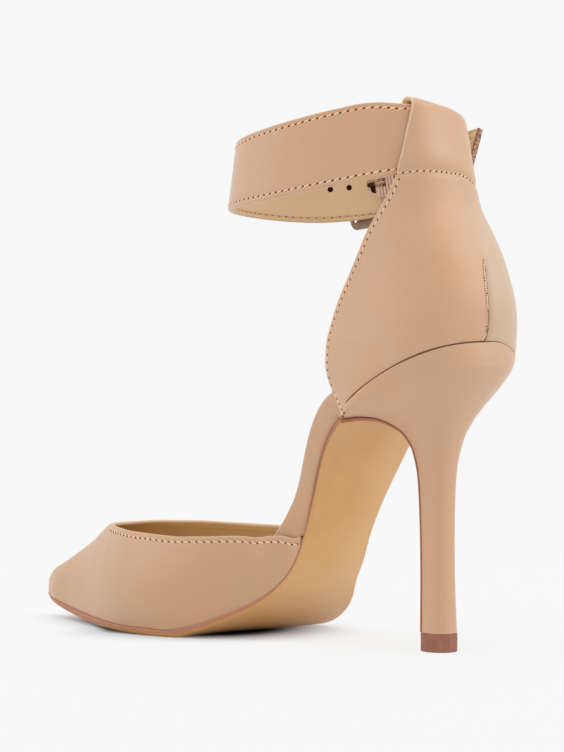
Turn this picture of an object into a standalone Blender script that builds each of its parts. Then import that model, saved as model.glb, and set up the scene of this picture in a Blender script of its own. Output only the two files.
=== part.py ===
"""Strap pump: a right shoe with a slim high heel, a closed pointed toe and a wide ankle strap.

The shoe stands on z = 0 with its toe towards -Y and its medial side towards +X.
Its forms are worked out in the shoe's own directions, in millimetres: forward from the back of the
heel seat, side (medial is positive) and up. place() turns them into metres in the part's frame.
"""
import bpy
import bmesh
import numpy as np

MM = 0.001
GAP = 0.3
WELD = 0.00002
SHARP_ANGLE = 40.0

# Driving dimensions of the last
TOE_FORWARD = 213.0
FORWARD_CENTRE = 104.77
SIDE_CENTRE = -4.5

# Sole and insole
TREAD_THICKNESS = 2.5
WAIST_THICKNESS = 1.3
FLAP_THICKNESS = 1.1
TREAD_REAR = 121.0
TREAD_FRONT = 146.0
TREAD_MARGIN = 0.5
SOLE_BEVEL = 0.8
SOLE_BEVEL_SHARE = 0.3
SOLE_EDGE_SHARE = 0.55
SOLE_STEPS = 46
SOLE_WELT = 0.5
WELT_REAR = 76.0
WELT_LENGTH = 20.0

INSOLE_BACK_INSET = 2.2
INSOLE_GAP = 0.6
INSOLE_SEAT_STEPS = 10
INSOLE_SEAT_SPACING = 1.6
INSOLE_SHANK = 49.2
INSOLE_TOE = 208.0

# Heel seat and heel
SEAT_BACK = -1.8
SEAT_BACK_UP = 106.0
SEAT_FRONT = 46.5
SEAT_FRONT_UP = 83.2
SEAT_DIP = 1.2
HEEL_BLUNTNESS = 2.55
HEEL_WIDEST = 0.58
HEEL_FRONT_TAPER = 1.8
LATERAL_WIDER = 1.05
HEEL_BACK_STEPS = 8
HEEL_SIDE_STEPS = 4
TIP_HEIGHT = 6.2
TIP_OVERHANG = 0.15
TIP_CHAMFER = 0.5

# Upper
VAMP_WALL = 1.6
VAMP_GAP = 0.36
VAMP_REAR = 73.2
VAMP_STEPS = 34
VAMP_ROWS = 9
VAMP_LEAST_RISE = 0.8
THROAT_FRONT = 177.0
RIDGE_SIDE = 3.0
QUARTER_WALL = 1.4
QUARTER_FOOT = 47.0
QUARTER_COLUMNS = 27
QUARTER_ROWS = 15

# Ankle strap and its tunnel
STRAP_WIDTH = 23.6
STRAP_THICKNESS = 2.2
TUNNEL_TOP_BACK = 186.1
TUNNEL_TOP_TILT = 3.4
TUNNEL_TOP_CROWN = 1.0
TUNNEL_MIDDLE = 0.84
TUNNEL_MIDDLE_RISE = 0.015
TUNNEL_FOLD = 0.972
TUNNEL_REACH = 0.98
TUNNEL_STEPS = 13
TUNNEL_GAP = 0.5
FOLD_STEPS = 6
FLAP_DROP = 26.2
FLAP_SEAM = 2.5
HOLE_RADIUS = 1.15
HOLE_SPACING = 7.1
SPARE_HOLES = 2
HOLE_SIDES = 10
STRAP_STEP = 4.5

# Buckle
BUCKLE_HEIGHT = 32.0
BUCKLE_LENGTH = 19.0
BUCKLE_BAR = 2.2
BUCKLE_CORNER = 2.6
BUCKLE_SIDES = 8
PRONG_RADIUS = 0.75
PRONG_CLEARANCE = 0.35
PRONG_HOOK = 185.0
PRONG_OVERRUN = 1.6
PRONG_RISE = 0.1
ELASTIC_HEIGHT = 10.0
ELASTIC_THICKNESS = 0.9
ELASTIC_SLOT = 3.0
ELASTIC_SLOT_DEPTH = 8.0
ELASTIC_SLOT_BACK = 3.2
ELASTIC_WRAP = 110.0
ELASTIC_CLEARANCE = 0.8
BUCKLE_TURN = -0.03
BUCKLE_OUT = -1.3
REAR_BAR = -6.8


def table(names, rows):
    """A short table as a dictionary of named columns."""
    return dict(zip(names.split(), np.array(rows, float).T))


# Top of the outsole from the heel breast to the toe
SOLE = table("forward up medial lateral lift", [
    (49.0, 79.8, 19.6, -21.6, 0.0),
    (53.5, 75.9, 18.4, -24.4, 0.0),
    (58.0, 70.2, 17.3, -25.6, 0.0),
    (61.4, 63.2, 16.4, -24.2, 0.0),
    (67.5, 47.2, 14.8, -18.6, 0.0),
    (72.0, 36.5, 14.0, -18.2, 0.0),
    (76.0, 28.4, 13.8, -20.8, 0.0),
    (82.0, 20.8, 14.8, -24.4, 0.0),
    (90.0, 13.8, 17.8, -30.2, 0.03),
    (100.0, 8.1, 22.5, -35.2, 0.045),
    (110.0, 4.3, 27.0, -38.0, 0.032),
    (121.0, 2.5, 30.3, -37.8, 0.0),
    (133.0, 2.5, 31.3, -35.0, 0.0),
    (146.0, 2.5, 29.8, -30.6, 0.0),
    (160.0, 3.0, 25.6, -24.9, 0.0),
    (176.0, 3.9, 19.0, -17.2, 0.0),
    (193.0, 5.3, 12.2, -9.0, 0.0),
    (205.0, 7.2, 8.8, -3.2, 0.0),
    (210.5, 8.3, 6.6, -0.8, 0.0),
    (213.0, 8.9, 3.0, 3.0, 0.0),
])

SOLE_THICKNESS = table("forward thick", [
    (49.0, FLAP_THICKNESS),
    (62.0, WAIST_THICKNESS),
    (82.0, WAIST_THICKNESS),
    (108.0, 2.1),
    (121.0, TREAD_THICKNESS),
    (146.0, TREAD_THICKNESS),
    (180.0, 2.2),
    (213.0, 1.4),
])

# Heel sections from the seat down to the tip: each leans from its front line back to its rear point
HEEL = table("front front_up front_half back back_up half dip", [
    (SEAT_FRONT, SEAT_FRONT_UP, 21.0, SEAT_BACK, SEAT_BACK_UP, 26.4, SEAT_DIP),
    (48.8, 79.7, 19.6, -2.6, 100.4, 24.6, 1.2),
    (45.0, 80.1, 14.4, -2.8, 96.6, 21.2, 1.2),
    (39.8, 79.2, 9.4, 0.9, 90.4, 16.8, 1.2),
    (33.6, 75.8, 6.2, 6.2, 84.2, 12.6, 1.15),
    (30.3, 72.0, 4.9, 10.0, 78.8, 9.6, 1.1),
    (28.2, 67.4, 4.3, 13.1, 72.2, 7.3, 1.0),
    (26.4, 57.0, 3.8, 15.4, 59.5, 5.4, 1.0),
    (25.5, 32.0, 3.6, 15.8, 32.5, 4.8, 1.0),
    (25.4, 6.5, 3.8, 14.9, 6.5, 5.2, 1.0),
])

# Heel quarter by height: rear point, half width, depth of the rounded back, front edge, skew, taper
QUARTER = table("up back half round front skew taper", [
    (82.0, -1.8, 26.4, 26.0, 47.6, 0.0, 0.0115),
    (86.0, -1.8, 26.4, 26.0, 50.8, 0.0, 0.0105),
    (90.0, -1.8, 26.4, 26.0, 52.4, 0.0, 0.008),
    (96.0, -1.8, 26.4, 26.0, 53.8, 0.0, 0.006),
    (102.0, -1.8, 26.4, 26.0, 53.6, 0.0, 0.006),
    (106.0, -1.8, 26.4, 26.0, 52.6, 0.0, 0.006),
    (112.0, -2.4, 26.0, 26.0, 50.2, 0.0, 0.006),
    (120.0, -2.0, 25.2, 26.0, 46.2, 0.0, 0.006),
    (128.0, 0.0, 24.2, 25.5, 41.6, 0.0, 0.006),
    (137.0, 3.3, 23.3, 24.5, 37.2, 0.01, 0.006),
    (144.0, 7.0, 22.6, 23.0, 33.8, 0.02, 0.006),
    (150.0, 10.7, 21.8, 21.0, 30.2, 0.04, 0.006),
    (157.0, 12.0, 20.9, 19.0, 26.4, 0.06, 0.006),
    (164.0, 14.4, 20.2, 17.0, 24.0, 0.08, 0.006),
    (170.0, 15.8, 19.7, 15.5, 23.2, 0.10, 0.006),
    (176.0, 16.7, 19.3, 14.0, 23.0, 0.11, 0.006),
    (184.0, 18.2, 18.9, 12.5, 23.2, 0.12, 0.006),
    (191.0, 19.2, 18.6, 11.5, 23.6, 0.12, 0.006),
])

# Vamp beside the throat: where each edge runs, the angle at which its arch is cut, and its swell
VAMP = table("forward medial medial_up lateral lateral_up cut swell", [
    (72.0, 13.8, 36.6, -18.8, 36.4, 14.0, 0.0),
    (82.0, 14.2, 36.0, -22.8, 36.2, 15.0, 0.2),
    (94.0, 16.4, 35.6, -27.4, 36.8, 18.0, 0.8),
    (113.0, 23.6, 35.3, -29.6, 37.6, 24.0, 1.6),
    (134.0, 26.6, 35.3, -25.6, 38.0, 32.0, 1.8),
    (150.0, 23.6, 35.6, -20.2, 37.8, 40.0, 1.4),
    (162.0, 17.8, 36.0, -13.2, 37.4, 52.0, 1.0),
    (171.0, 11.2, 36.3, -5.6, 36.9, 70.0, 0.6),
    (175.0, 7.4, 36.4, -1.0, 36.6, 80.0, 0.5),
    (THROAT_FRONT, 3.4, 36.4, 3.4, 36.4, 90.0, 0.4),
])

# Ridge of the vamp from the throat to the toe
RIDGE = table("forward side up swell", [
    (THROAT_FRONT, 3.4, 36.4, 0.4),
    (184.0, 3.4, 31.2, 0.3),
    (193.0, 3.3, 26.0, 0.2),
    (203.0, 3.2, 20.6, 0.1),
    (210.5, 3.1, 16.4, 0.0),
    (213.0, 3.0, 13.4, 0.0),
])

# Insole thickness along the shank and forepart
INSOLE = table("forward thick inset", [
    (-1.0, 6.4, 1.9),
    (30.0, 7.4, 1.9),
    (46.7, 8.6, 1.9),
    (49.0, 10.0, 1.7),
    (53.5, 10.0, 0.6),
    (58.0, 9.0, 0.2),
    (67.5, 9.0, 0.4),
    (70.0, 11.0, 1.2),
    (72.0, 12.8, 2.1),
    (75.5, 15.0, 2.5),
    (82.0, 12.6, 2.5),
    (92.0, 7.4, 2.5),
    (110.0, 4.0, 2.7),
    (130.0, 3.2, 2.7),
    (213.0, 3.0, 2.7),
])

# Ankle strap between its ends and the tunnel: the short buckle end, then the long end with its tail
SHORT_END = table("forward side up lean width", [
    (70.6, -34.2, 160.6, 0.06, 24.0),
    (57.0, -33.2, 162.6, 0.08, 24.0),
    (45.0, -29.4, 164.8, 0.10, 24.0),
    (34.5, -23.6, 166.2, 0.13, STRAP_WIDTH),
])
LONG_END = table("forward side up lean width", [
    (31.5, 21.8, 174.4, 0.13, 25.8),
    (43.0, 27.2, 172.2, 0.10, 25.8),
    (58.0, 31.6, 169.1, 0.08, 25.3),
    (74.0, 32.2, 166.1, 0.08, 24.6),
    (88.0, 28.4, 163.8, 0.10, 23.7),
    (98.0, 20.8, 162.4, 0.13, 23.2),
    (105.0, 10.0, 160.9, 0.16, 23.2),
    (107.4, -3.0, 159.7, 0.17, 23.4),
    (105.0, -15.0, 158.8, 0.16, 23.8),
    (99.5, -25.4, 158.6, 0.12, 24.0),
    (93.0, -31.4, 159.2, 0.08, 24.0),
    (86.0, -35.2, 160.0, 0.06, 24.0),
    (78.0, -38.2, 160.9, 0.06, 24.0),
    (68.0, -39.6, 162.2, 0.06, 24.0),
    (52.0, -39.4, 165.6, -0.14, 23.8),
    (38.0, -37.9, 169.2, -0.40, 23.6),
])
STRAP_AXIS = np.array((58.0, -2.0))
PRONG_FORWARD = 84.6


def smooth(at, stations, values):
    """Read a table's column between its rows, on a cubic curve through every row."""
    stations = np.asarray(stations, float)
    values = np.asarray(values, float)
    widths = np.diff(stations)
    steps = np.diff(values) / widths
    slopes = np.empty_like(values)
    slopes[1:-1] = (steps[:-1] * widths[1:] + steps[1:] * widths[:-1]) / (widths[1:] + widths[:-1])
    slopes[0] = 1.5 * steps[0] - 0.5 * slopes[1]
    slopes[-1] = 1.5 * steps[-1] - 0.5 * slopes[-2]
    at = np.clip(at, stations[0], stations[-1])
    row = np.clip(np.searchsorted(stations, at, side="right") - 1, 0, len(stations) - 2)
    width = widths[row]
    t = (at - stations[row]) / width
    start = (1 + 2 * t) * (1 - t) ** 2 * values[row] + t * (1 - t) ** 2 * width * slopes[row]
    end = t ** 2 * (3 - 2 * t) * values[row + 1] + t ** 2 * (t - 1) * width * slopes[row + 1]
    return start + end


def read(source, key, at, name):
    """Read column `name` of a table at values of its column `key`."""
    return smooth(at, source[key], source[name])


def shoe(forward, side, up):
    """Stack shoe coordinates into an array of points."""
    forward, side, up = np.broadcast_arrays(forward, side, up)
    return np.stack([forward, side, up], axis=-1).astype(float)


def place(points):
    """Turn shoe coordinates in millimetres into metres in the part's frame."""
    points = np.asarray(points, float)
    right = points[..., 1] - SIDE_CENTRE
    back = FORWARD_CENTRE - points[..., 0]
    return np.stack([right, back, points[..., 2]], axis=-1) * MM


def unit(vectors):
    return vectors / np.linalg.norm(vectors, axis=-1, keepdims=True)


def turn(forward):
    """Angle whose cosine spaces stations along the shoe, so that the toe's outline closes round."""
    return np.arccos(np.clip(1 - 2 * np.asarray(forward, float) / TOE_FORWARD, -1, 1))


def sole_up(forward, side=0.0):
    """Height of the sole's upper side: its profile, with the ball turned a little down laterally."""
    return read(SOLE, "forward", forward, "up") + read(SOLE, "forward", forward, "lift") * side


def sole_edge(forward, name):
    """Side of the sole's medial or lateral edge, read over the angle of turn()."""
    return smooth(turn(forward), turn(SOLE["forward"]), SOLE[name])


def seat_up(forward):
    """Height of the heel seat's rim, flat at the back and falling towards the breast."""
    fraction = np.clip((forward - SEAT_BACK) / (SEAT_FRONT - SEAT_BACK), 0, None)
    return SEAT_BACK_UP - (SEAT_BACK_UP - SEAT_FRONT_UP) * fraction ** SEAT_DIP


def sole_stations(start, count):
    """Stations from `start` to the toe, closer together at the toe."""
    angles = np.linspace(turn(start), np.pi, count)
    return TOE_FORWARD * (1 - np.cos(angles)) / 2


def material(name, colour, roughness, metallic=0.0):
    made = bpy.data.materials.new(name)
    made.use_nodes = True
    shader = made.node_tree.nodes["Principled BSDF"]
    shader.inputs["Base Color"].default_value = (*colour, 1.0)
    shader.inputs["Roughness"].default_value = roughness
    shader.inputs["Metallic"].default_value = metallic
    made.diffuse_color = (*colour, 1.0)
    return made


def add_object(name, points, faces, collection, finish):
    """Make a mesh object from shoe coordinates, shaded smooth between its sharp edges."""
    mesh = bpy.data.meshes.new(name)
    mesh.from_pydata(place(points).reshape(-1, 3).tolist(), [], faces)
    mesh.materials.append(finish)
    mesh.shade_smooth()
    mesh.set_sharp_from_angle(angle=np.radians(SHARP_ANGLE))
    thing = bpy.data.objects.new(name, mesh)
    collection.objects.link(thing)
    return thing


def merge(thing):
    """Weld the points of a mesh that lie on each other."""
    edit = bmesh.new()
    edit.from_mesh(thing.data)
    bmesh.ops.remove_doubles(edit, verts=edit.verts, dist=WELD)
    edit.to_mesh(thing.data)
    edit.free()


def turn_faces_out(thing):
    """Point every face of a closed mesh outwards."""
    edit = bmesh.new()
    edit.from_mesh(thing.data)
    bmesh.ops.recalc_face_normals(edit, faces=edit.faces)
    edit.to_mesh(thing.data)
    edit.free()


def grid_faces(rows, columns, first=0, closed=False):
    """Quads over a grid of points, with the last column joined to the first when closed."""
    faces = []
    for row in range(rows - 1):
        for column in range(columns if closed else columns - 1):
            beside = (column + 1) % columns
            here = first + row * columns
            faces.append((here + column, here + beside, here + columns + beside, here + columns + column))
    return faces


def ladder(first, count):
    """Quads across a ring of points whose first half faces its second half."""
    faces = []
    for step in range((count - 1) // 2):
        far = count - 1 - step
        quad = (first + step, first + step + 1, first + far - 1, first + far)
        faces.append(tuple(dict.fromkeys(quad)))
    return faces


def loft(name, rings, collection, finish):
    """A closed body through rings of points, closed by ladders across the first and last ring."""
    count, size = rings.shape[:2]
    faces = grid_faces(count, size, closed=True)
    faces += ladder(0, size) + ladder((count - 1) * size, size)
    thing = add_object(name, rings, faces, collection, finish)
    turn_faces_out(thing)
    return thing


def sweep_rings(path, across, outward, section):
    """Carry a flat section, given as (across, outward) pairs, along a path with its own directions."""
    section = np.asarray(section, float)
    return (path[:, None, :] + section[None, :, 0, None] * across[:, None, :]
            + section[None, :, 1, None] * outward[:, None, :])


def rectangle(width, thickness):
    w, t = width / 2, thickness / 2
    return [(-w, -t), (w, -t), (w, t), (-w, t)]


def circle(radius, sides):
    angles = np.arange(sides) * 2 * np.pi / sides
    return np.stack([np.cos(angles), np.sin(angles)], axis=-1) * radius


def solidify(thing, thickness):
    """Give an open surface its wall, inwards from the faces' outer side."""
    wall = thing.modifiers.new("wall", "SOLIDIFY")
    wall.thickness = thickness * MM
    wall.offset = -1.0
    wall.use_quality_normals = True


def cut(thing, cutter):
    boolean = thing.modifiers.new(cutter.name, "BOOLEAN")
    boolean.operation = "DIFFERENCE"
    boolean.solver = "EXACT"
    boolean.object = cutter


def as_cutter(thing):
    thing.hide_render = True
    thing.display_type = "WIRE"
    return thing


def upward_normals(forward, up):
    """Normals of a profile in the plane of forward and up, on its upper side."""
    along = unit(np.stack([np.gradient(forward), np.gradient(up)], axis=-1))
    return np.stack([-along[:, 1], along[:, 0]], axis=-1)


def heel_half_width(fraction, half, front_half):
    """Half width at a fraction of a heel section's depth: a blunt round back, then a taper forward."""
    back = np.clip(fraction / HEEL_WIDEST, 0, 1)
    taper = np.clip((fraction - HEEL_WIDEST) / (1 - HEEL_WIDEST), 0, 1)
    rounded = (1 - (1 - back) ** HEEL_BLUNTNESS) ** (1 / HEEL_BLUNTNESS)
    return half * rounded - (half - front_half) * taper ** HEEL_FRONT_TAPER


def depth_fractions():
    """Fractions of depth from the rear point to the front line, closer together round the back."""
    angles = np.linspace(0, np.pi / 2, HEEL_BACK_STEPS + 1)
    back = HEEL_WIDEST * (1 - np.cos(angles))
    side = np.linspace(HEEL_WIDEST, 1, HEEL_SIDE_STEPS + 1)[1:]
    return np.concatenate([back, side])


def heel_sides(fraction, half, front_half):
    """Half widths of the medial side and of the lateral side, which is a little fuller."""
    return [heel_half_width(fraction, half * wider, front_half) for wider in (1.0, LATERAL_WIDER)]


def heel_section(at, fractions):
    """The heel's ring at a place between the rows of its table, from the medial front round the back."""
    rows = np.arange(len(HEEL["half"]))
    row = {name: float(smooth(np.array(at), rows, values)) for name, values in HEEL.items()}
    forward = row["back"] + (row["front"] - row["back"]) * fractions
    up = row["back_up"] + (row["front_up"] - row["back_up"]) * fractions ** row["dip"]
    medial, lateral = heel_sides(fractions, row["half"], row["front_half"])
    return np.concatenate([shoe(forward, medial, up)[::-1], shoe(forward, -lateral, up)[1:]])


def breast_line(at):
    """The heel's front line: forward, up and half width at places between the rows of its table."""
    rows = np.arange(len(HEEL["half"]))
    return [smooth(at, rows, HEEL[name]) for name in ("front", "front_up", "front_half")]


HEEL_WAIST = 7
HEEL_PLACES = np.concatenate([np.linspace(0, HEEL_WAIST, 22), np.linspace(HEEL_WAIST, 9, 5)[1:]])
BREAST_PLACES = HEEL_PLACES[HEEL_PLACES >= 1.0]
SOLE_STATIONS = sole_stations(SOLE["forward"][0], SOLE_STEPS)


def outsole_path():
    """The sole's upper side from the toe up the waist and down the heel breast: edges and cross slope."""
    forward = SOLE_STATIONS[::-1][:-1]
    welt = SOLE_WELT * np.clip((forward - WELT_REAR) / WELT_LENGTH, 0, 1)
    front, front_up, front_half = breast_line(BREAST_PLACES)
    waist = np.stack([forward, sole_up(forward)], axis=-1)
    path = np.concatenate([waist, np.stack([front, front_up], axis=-1)])
    medial = np.concatenate([sole_edge(forward, "medial") + welt, front_half])
    lateral = np.concatenate([sole_edge(forward, "lateral") - welt, -front_half])
    lift = np.concatenate([read(SOLE, "forward", forward, "lift"), np.zeros(len(front))])
    return path, medial, lateral, lift


def build_outsole(collection, finish):
    path, medial, lateral, lift = outsole_path()
    downward = upward_normals(path[:, 0], path[:, 1])
    stations = len(SOLE_STATIONS) - 1
    forward = path[:stations, 0]
    thick = np.full(len(path), FLAP_THICKNESS)
    thick[:stations] = read(SOLE_THICKNESS, "forward", forward, "thick")
    seat_gap = np.where(np.arange(len(path)) < stations, 0.0, GAP)
    upper = path + downward * seat_gap[:, None]
    middle = upper + downward * (SOLE_EDGE_SHARE * thick)[:, None]
    lower = upper + downward * thick[:, None]
    tread = np.zeros(len(path), bool)
    tread[:stations] = (forward > TREAD_REAR - TREAD_MARGIN) & (forward < TREAD_FRONT + TREAD_MARGIN)
    lower[tread] = shoe(path[tread, 0], 0.0, 0.0)[:, :2]
    bevel = np.minimum(SOLE_BEVEL, SOLE_BEVEL_SHARE * (medial - lateral))
    ring = []
    for profile, side in ((upper, lateral), (upper, medial), (middle, medial), (lower, medial - bevel),
                          (lower, lateral + bevel), (middle, lateral)):
        ring.append(shoe(profile[:, 0], side, np.maximum(profile[:, 1] + lift * side, 0.0)))
    return loft("outsole", np.stack(ring, axis=1), collection, finish)


def build_insole(collection, finish):
    back = SEAT_BACK + INSOLE_BACK_INSET
    seat = back + (SEAT_FRONT - back) * np.linspace(0, 1, INSOLE_SEAT_STEPS) ** INSOLE_SEAT_SPACING
    shank = SOLE_STATIONS[(SOLE_STATIONS > INSOLE_SHANK) & (SOLE_STATIONS < INSOLE_TOE)]
    forward = np.concatenate([seat, shank])
    up = np.concatenate([seat_up(seat), sole_up(shank)])
    breast = len(seat)
    on_seat = np.arange(len(forward)) < breast
    normals = upward_normals(forward, up)
    normals[breast - 1:breast + 1] = (normals[breast - 2] + normals[breast + 1]) / 2
    normals = unit(normals)
    thick = read(INSOLE, "forward", forward, "thick")
    inset = read(INSOLE, "forward", forward, "inset")
    lift = np.where(on_seat, 0.0, read(SOLE, "forward", forward, "lift"))
    fraction = np.clip((forward - SEAT_BACK) / (SEAT_FRONT - SEAT_BACK), 0, 1)
    seat_medial, seat_lateral = heel_sides(fraction, HEEL["half"][0], HEEL["front_half"][0])
    medial = np.where(on_seat, seat_medial, sole_edge(forward, "medial")) - inset
    lateral = np.where(on_seat, -seat_lateral, sole_edge(forward, "lateral")) + inset
    bottom = np.stack([forward, up], axis=-1) + normals * INSOLE_GAP
    top = bottom + normals * thick[:, None]
    ring = []
    for profile, side in ((bottom, lateral), (bottom, medial), (top, medial), (top, lateral)):
        ring.append(shoe(profile[:, 0], side, profile[:, 1] + lift * side))
    return loft("insole", np.stack(ring, axis=1), collection, finish)


def vamp_wall(forward, side_name, fractions):
    """One side of the vamp: an arc of an ellipse from the sole's edge to the throat or ridge."""
    base_side = sole_edge(forward, side_name)
    slope = np.gradient(sole_up(forward), forward)
    base_up = sole_up(forward, base_side) + VAMP_GAP * np.sqrt(1 + slope ** 2)
    ridge = forward >= THROAT_FRONT
    top_side, top_up, swell = [
        np.where(ridge, read(RIDGE, "forward", forward, ahead), read(VAMP, "forward", forward, beside))
        for ahead, beside in (("side", side_name), ("up", side_name + "_up"), ("swell", "swell"))]
    swell = swell * np.sign(base_side - RIDGE_SIDE)
    cut_angle = np.radians(np.minimum(read(VAMP, "forward", forward, "cut"), 90))
    angle = cut_angle[:, None] * fractions[None, :]
    rise = np.sin(angle) / np.sin(cut_angle)[:, None]
    lean = (1 - np.cos(angle)) / (1 - np.cos(cut_angle))[:, None]
    side = base_side[:, None] + (top_side - base_side)[:, None] * lean
    side = side + swell[:, None] * np.sin(np.pi * rise)
    up = base_up[:, None] + np.maximum(top_up - base_up, VAMP_LEAST_RISE)[:, None] * rise
    return shoe(forward[:, None], side, up)


def build_vamp(collection, finish):
    stations = sole_stations(VAMP_REAR, VAMP_STEPS)
    stations[np.searchsorted(stations, THROAT_FRONT)] = THROAT_FRONT
    fractions = np.linspace(0, 1, VAMP_ROWS)
    medial = vamp_wall(stations, "medial", fractions)
    lateral = vamp_wall(stations, "lateral", fractions)
    rows, columns = medial.shape[:2]
    points = np.concatenate([medial.reshape(-1, 3), lateral.reshape(-1, 3)])
    faces = grid_faces(rows, columns) + [face[::-1] for face in grid_faces(rows, columns, rows * columns)]
    thing = add_object("vamp", points, faces, collection, finish)
    merge(thing)
    solidify(thing, VAMP_WALL)
    return thing


def quarter_half_width(depth, half, rounded, taper):
    """Half width of the quarter at a distance in front of its rear point."""
    back = np.clip(depth / rounded, 0, 1)
    ahead = np.clip(depth - rounded, 0, None)
    return half * (1 - (1 - back) ** HEEL_BLUNTNESS) ** (1 / HEEL_BLUNTNESS) - taper * ahead ** 2


def quarter_surface(around, height):
    """Outer side of the quarter: around runs from -1 (lateral edge) to 1, height from 0 to 1."""
    around, height = np.broadcast_arrays(around, height)
    forward = QUARTER_FOOT * around ** 2
    for _ in range(12):
        low = seat_up(np.minimum(forward, QUARTER_FOOT)) + GAP
        top = TUNNEL_TOP_BACK + TUNNEL_TOP_TILT * around - TUNNEL_TOP_CROWN * around ** 2
        up = low + (top - low) * height
        row = {name: read(QUARTER, "up", up, name) for name in QUARTER}
        depth = (row["front"] - row["back"]) * around ** 2
        forward = row["back"] + depth
    half = row["half"] * np.where(around < 0, LATERAL_WIDER, 1.0)
    side = np.sign(around) * quarter_half_width(depth, half, row["round"], row["taper"])
    return shoe(forward - row["skew"] * side, side, up)


def surface_frame(around, height):
    """Point, outward normal and upward direction of the quarter's outer side."""
    step = 0.01
    point = quarter_surface(around, height)
    along = quarter_surface(around + step, height) - quarter_surface(around - step, height)
    upward = unit(quarter_surface(around, height + step) - quarter_surface(around, height - step))
    outward = unit(np.cross(upward, along))
    return point, outward, upward


FOLD_RADIUS = QUARTER_WALL + TUNNEL_GAP + STRAP_THICKNESS / 2


def build_quarter(collection, finish):
    around = np.linspace(-1, 1, QUARTER_COLUMNS)
    heights = np.linspace(0, TUNNEL_FOLD, QUARTER_ROWS)[:-1]
    rows = [quarter_surface(around, height) for height in heights]
    point, outward, upward = surface_frame(around, np.full_like(around, TUNNEL_FOLD))
    for angle in np.linspace(0, np.pi, FOLD_STEPS):
        turned = upward * np.sin(angle) - outward * (1 - np.cos(angle))
        rows.append(point + turned * FOLD_RADIUS)
    inner = 2 * FOLD_RADIUS
    seam = FLAP_DROP - FLAP_SEAM
    flap = ((seam / 3, inner), (seam * 2 / 3, inner), (seam, inner), (FLAP_DROP, inner - STRAP_THICKNESS))
    for drop, inward in flap:
        rows.append(point - upward * drop - outward * inward)
    grid = np.stack(rows)
    faces = grid_faces(grid.shape[0], grid.shape[1])
    thing = add_object("quarter", grid, faces, collection, finish)
    solidify(thing, QUARTER_WALL)
    return thing


def build_heel(collection, finish):
    rings = np.stack([heel_section(at, depth_fractions()) for at in HEEL_PLACES])
    return loft("heel", rings, collection, finish)


def build_heel_tip(collection, finish):
    ring = heel_section(HEEL_PLACES[-1], depth_fractions())
    flap = FLAP_THICKNESS + GAP
    back, front = HEEL["back"][-1], HEEL["front"][-1]
    ring[:, 0] = back + (ring[:, 0] - back) * (front + flap - back) / (front - back)
    centre = np.array(((back + front + flap) / 2, 0.0))
    rings = []
    away = unit(ring[:, :2] - centre)
    levels = ((0.0, TIP_OVERHANG - TIP_CHAMFER), (TIP_CHAMFER, TIP_OVERHANG), (TIP_HEIGHT, TIP_OVERHANG))
    for up, grow in levels:
        grown = ring[:, :2] + away * grow
        rings.append(shoe(grown[:, 0], grown[:, 1], up))
    return loft("heel_tip", np.stack(rings), collection, finish)


def strap_route():
    """Points, upward directions and widths of the strap from its short end to its tail."""
    around = np.linspace(-TUNNEL_REACH, TUNNEL_REACH, TUNNEL_STEPS)
    point, outward, upward = surface_frame(around, TUNNEL_MIDDLE + TUNNEL_MIDDLE_RISE * np.maximum(around, 0))
    tunnel = point - outward * FOLD_RADIUS
    path = [shoe(SHORT_END["forward"], SHORT_END["side"], SHORT_END["up"]), tunnel,
            shoe(LONG_END["forward"], LONG_END["side"], LONG_END["up"])]
    ups = []
    for end in (SHORT_END, LONG_END):
        plan = np.stack([end["forward"], end["side"]], axis=-1)
        inward = unit(STRAP_AXIS - plan) * end["lean"][:, None]
        ups.append(unit(np.concatenate([inward, np.ones((len(plan), 1))], axis=1)))
    directions = np.concatenate([ups[0], upward, ups[1]])
    widths = np.concatenate([SHORT_END["width"], np.full(TUNNEL_STEPS, STRAP_WIDTH), LONG_END["width"]])
    return np.concatenate(path), directions, widths


def strap_path(step):
    """The strap at even steps along a smooth curve: points, upward and outward directions, widths."""
    points, directions, widths = strap_route()
    lengths = np.concatenate([[0], np.cumsum(np.linalg.norm(np.diff(points, axis=0), axis=1))])
    at = np.linspace(0, lengths[-1], int(lengths[-1] / step) + 1)
    path = np.stack([smooth(at, lengths, points[:, axis]) for axis in range(3)], axis=-1)
    upward = unit(np.stack([smooth(at, lengths, directions[:, axis]) for axis in range(3)], axis=-1))
    along = unit(np.gradient(path, axis=0))
    upward = unit(upward - along * np.sum(upward * along, axis=1, keepdims=True))
    return at, path, upward, np.cross(upward, along), smooth(at, lengths, widths)


def prong_place():
    """Where the strap's long end crosses the prong: the route's index there."""
    at, path, upward, outward, _ = strap_path(1.0)
    long_lateral = (path[:, 1] < STRAP_AXIS[1]) & (at > at[-1] / 2)
    index = np.argmin(np.where(long_lateral, np.abs(path[:, 0] - PRONG_FORWARD), np.inf))
    return at, path, upward, outward, index


def cylinder(name, start, end, radius, collection, finish):
    """A straight round bar between two points."""
    along = unit(end - start)
    across = unit(np.cross(along, (0.0, 0.0, 1.0)))
    path = np.stack([start, end])
    acrosses = np.tile(across, (2, 1))
    outwards = np.tile(np.cross(along, across), (2, 1))
    return loft(name, sweep_rings(path, acrosses, outwards, circle(radius, HOLE_SIDES)), collection, finish)


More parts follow.
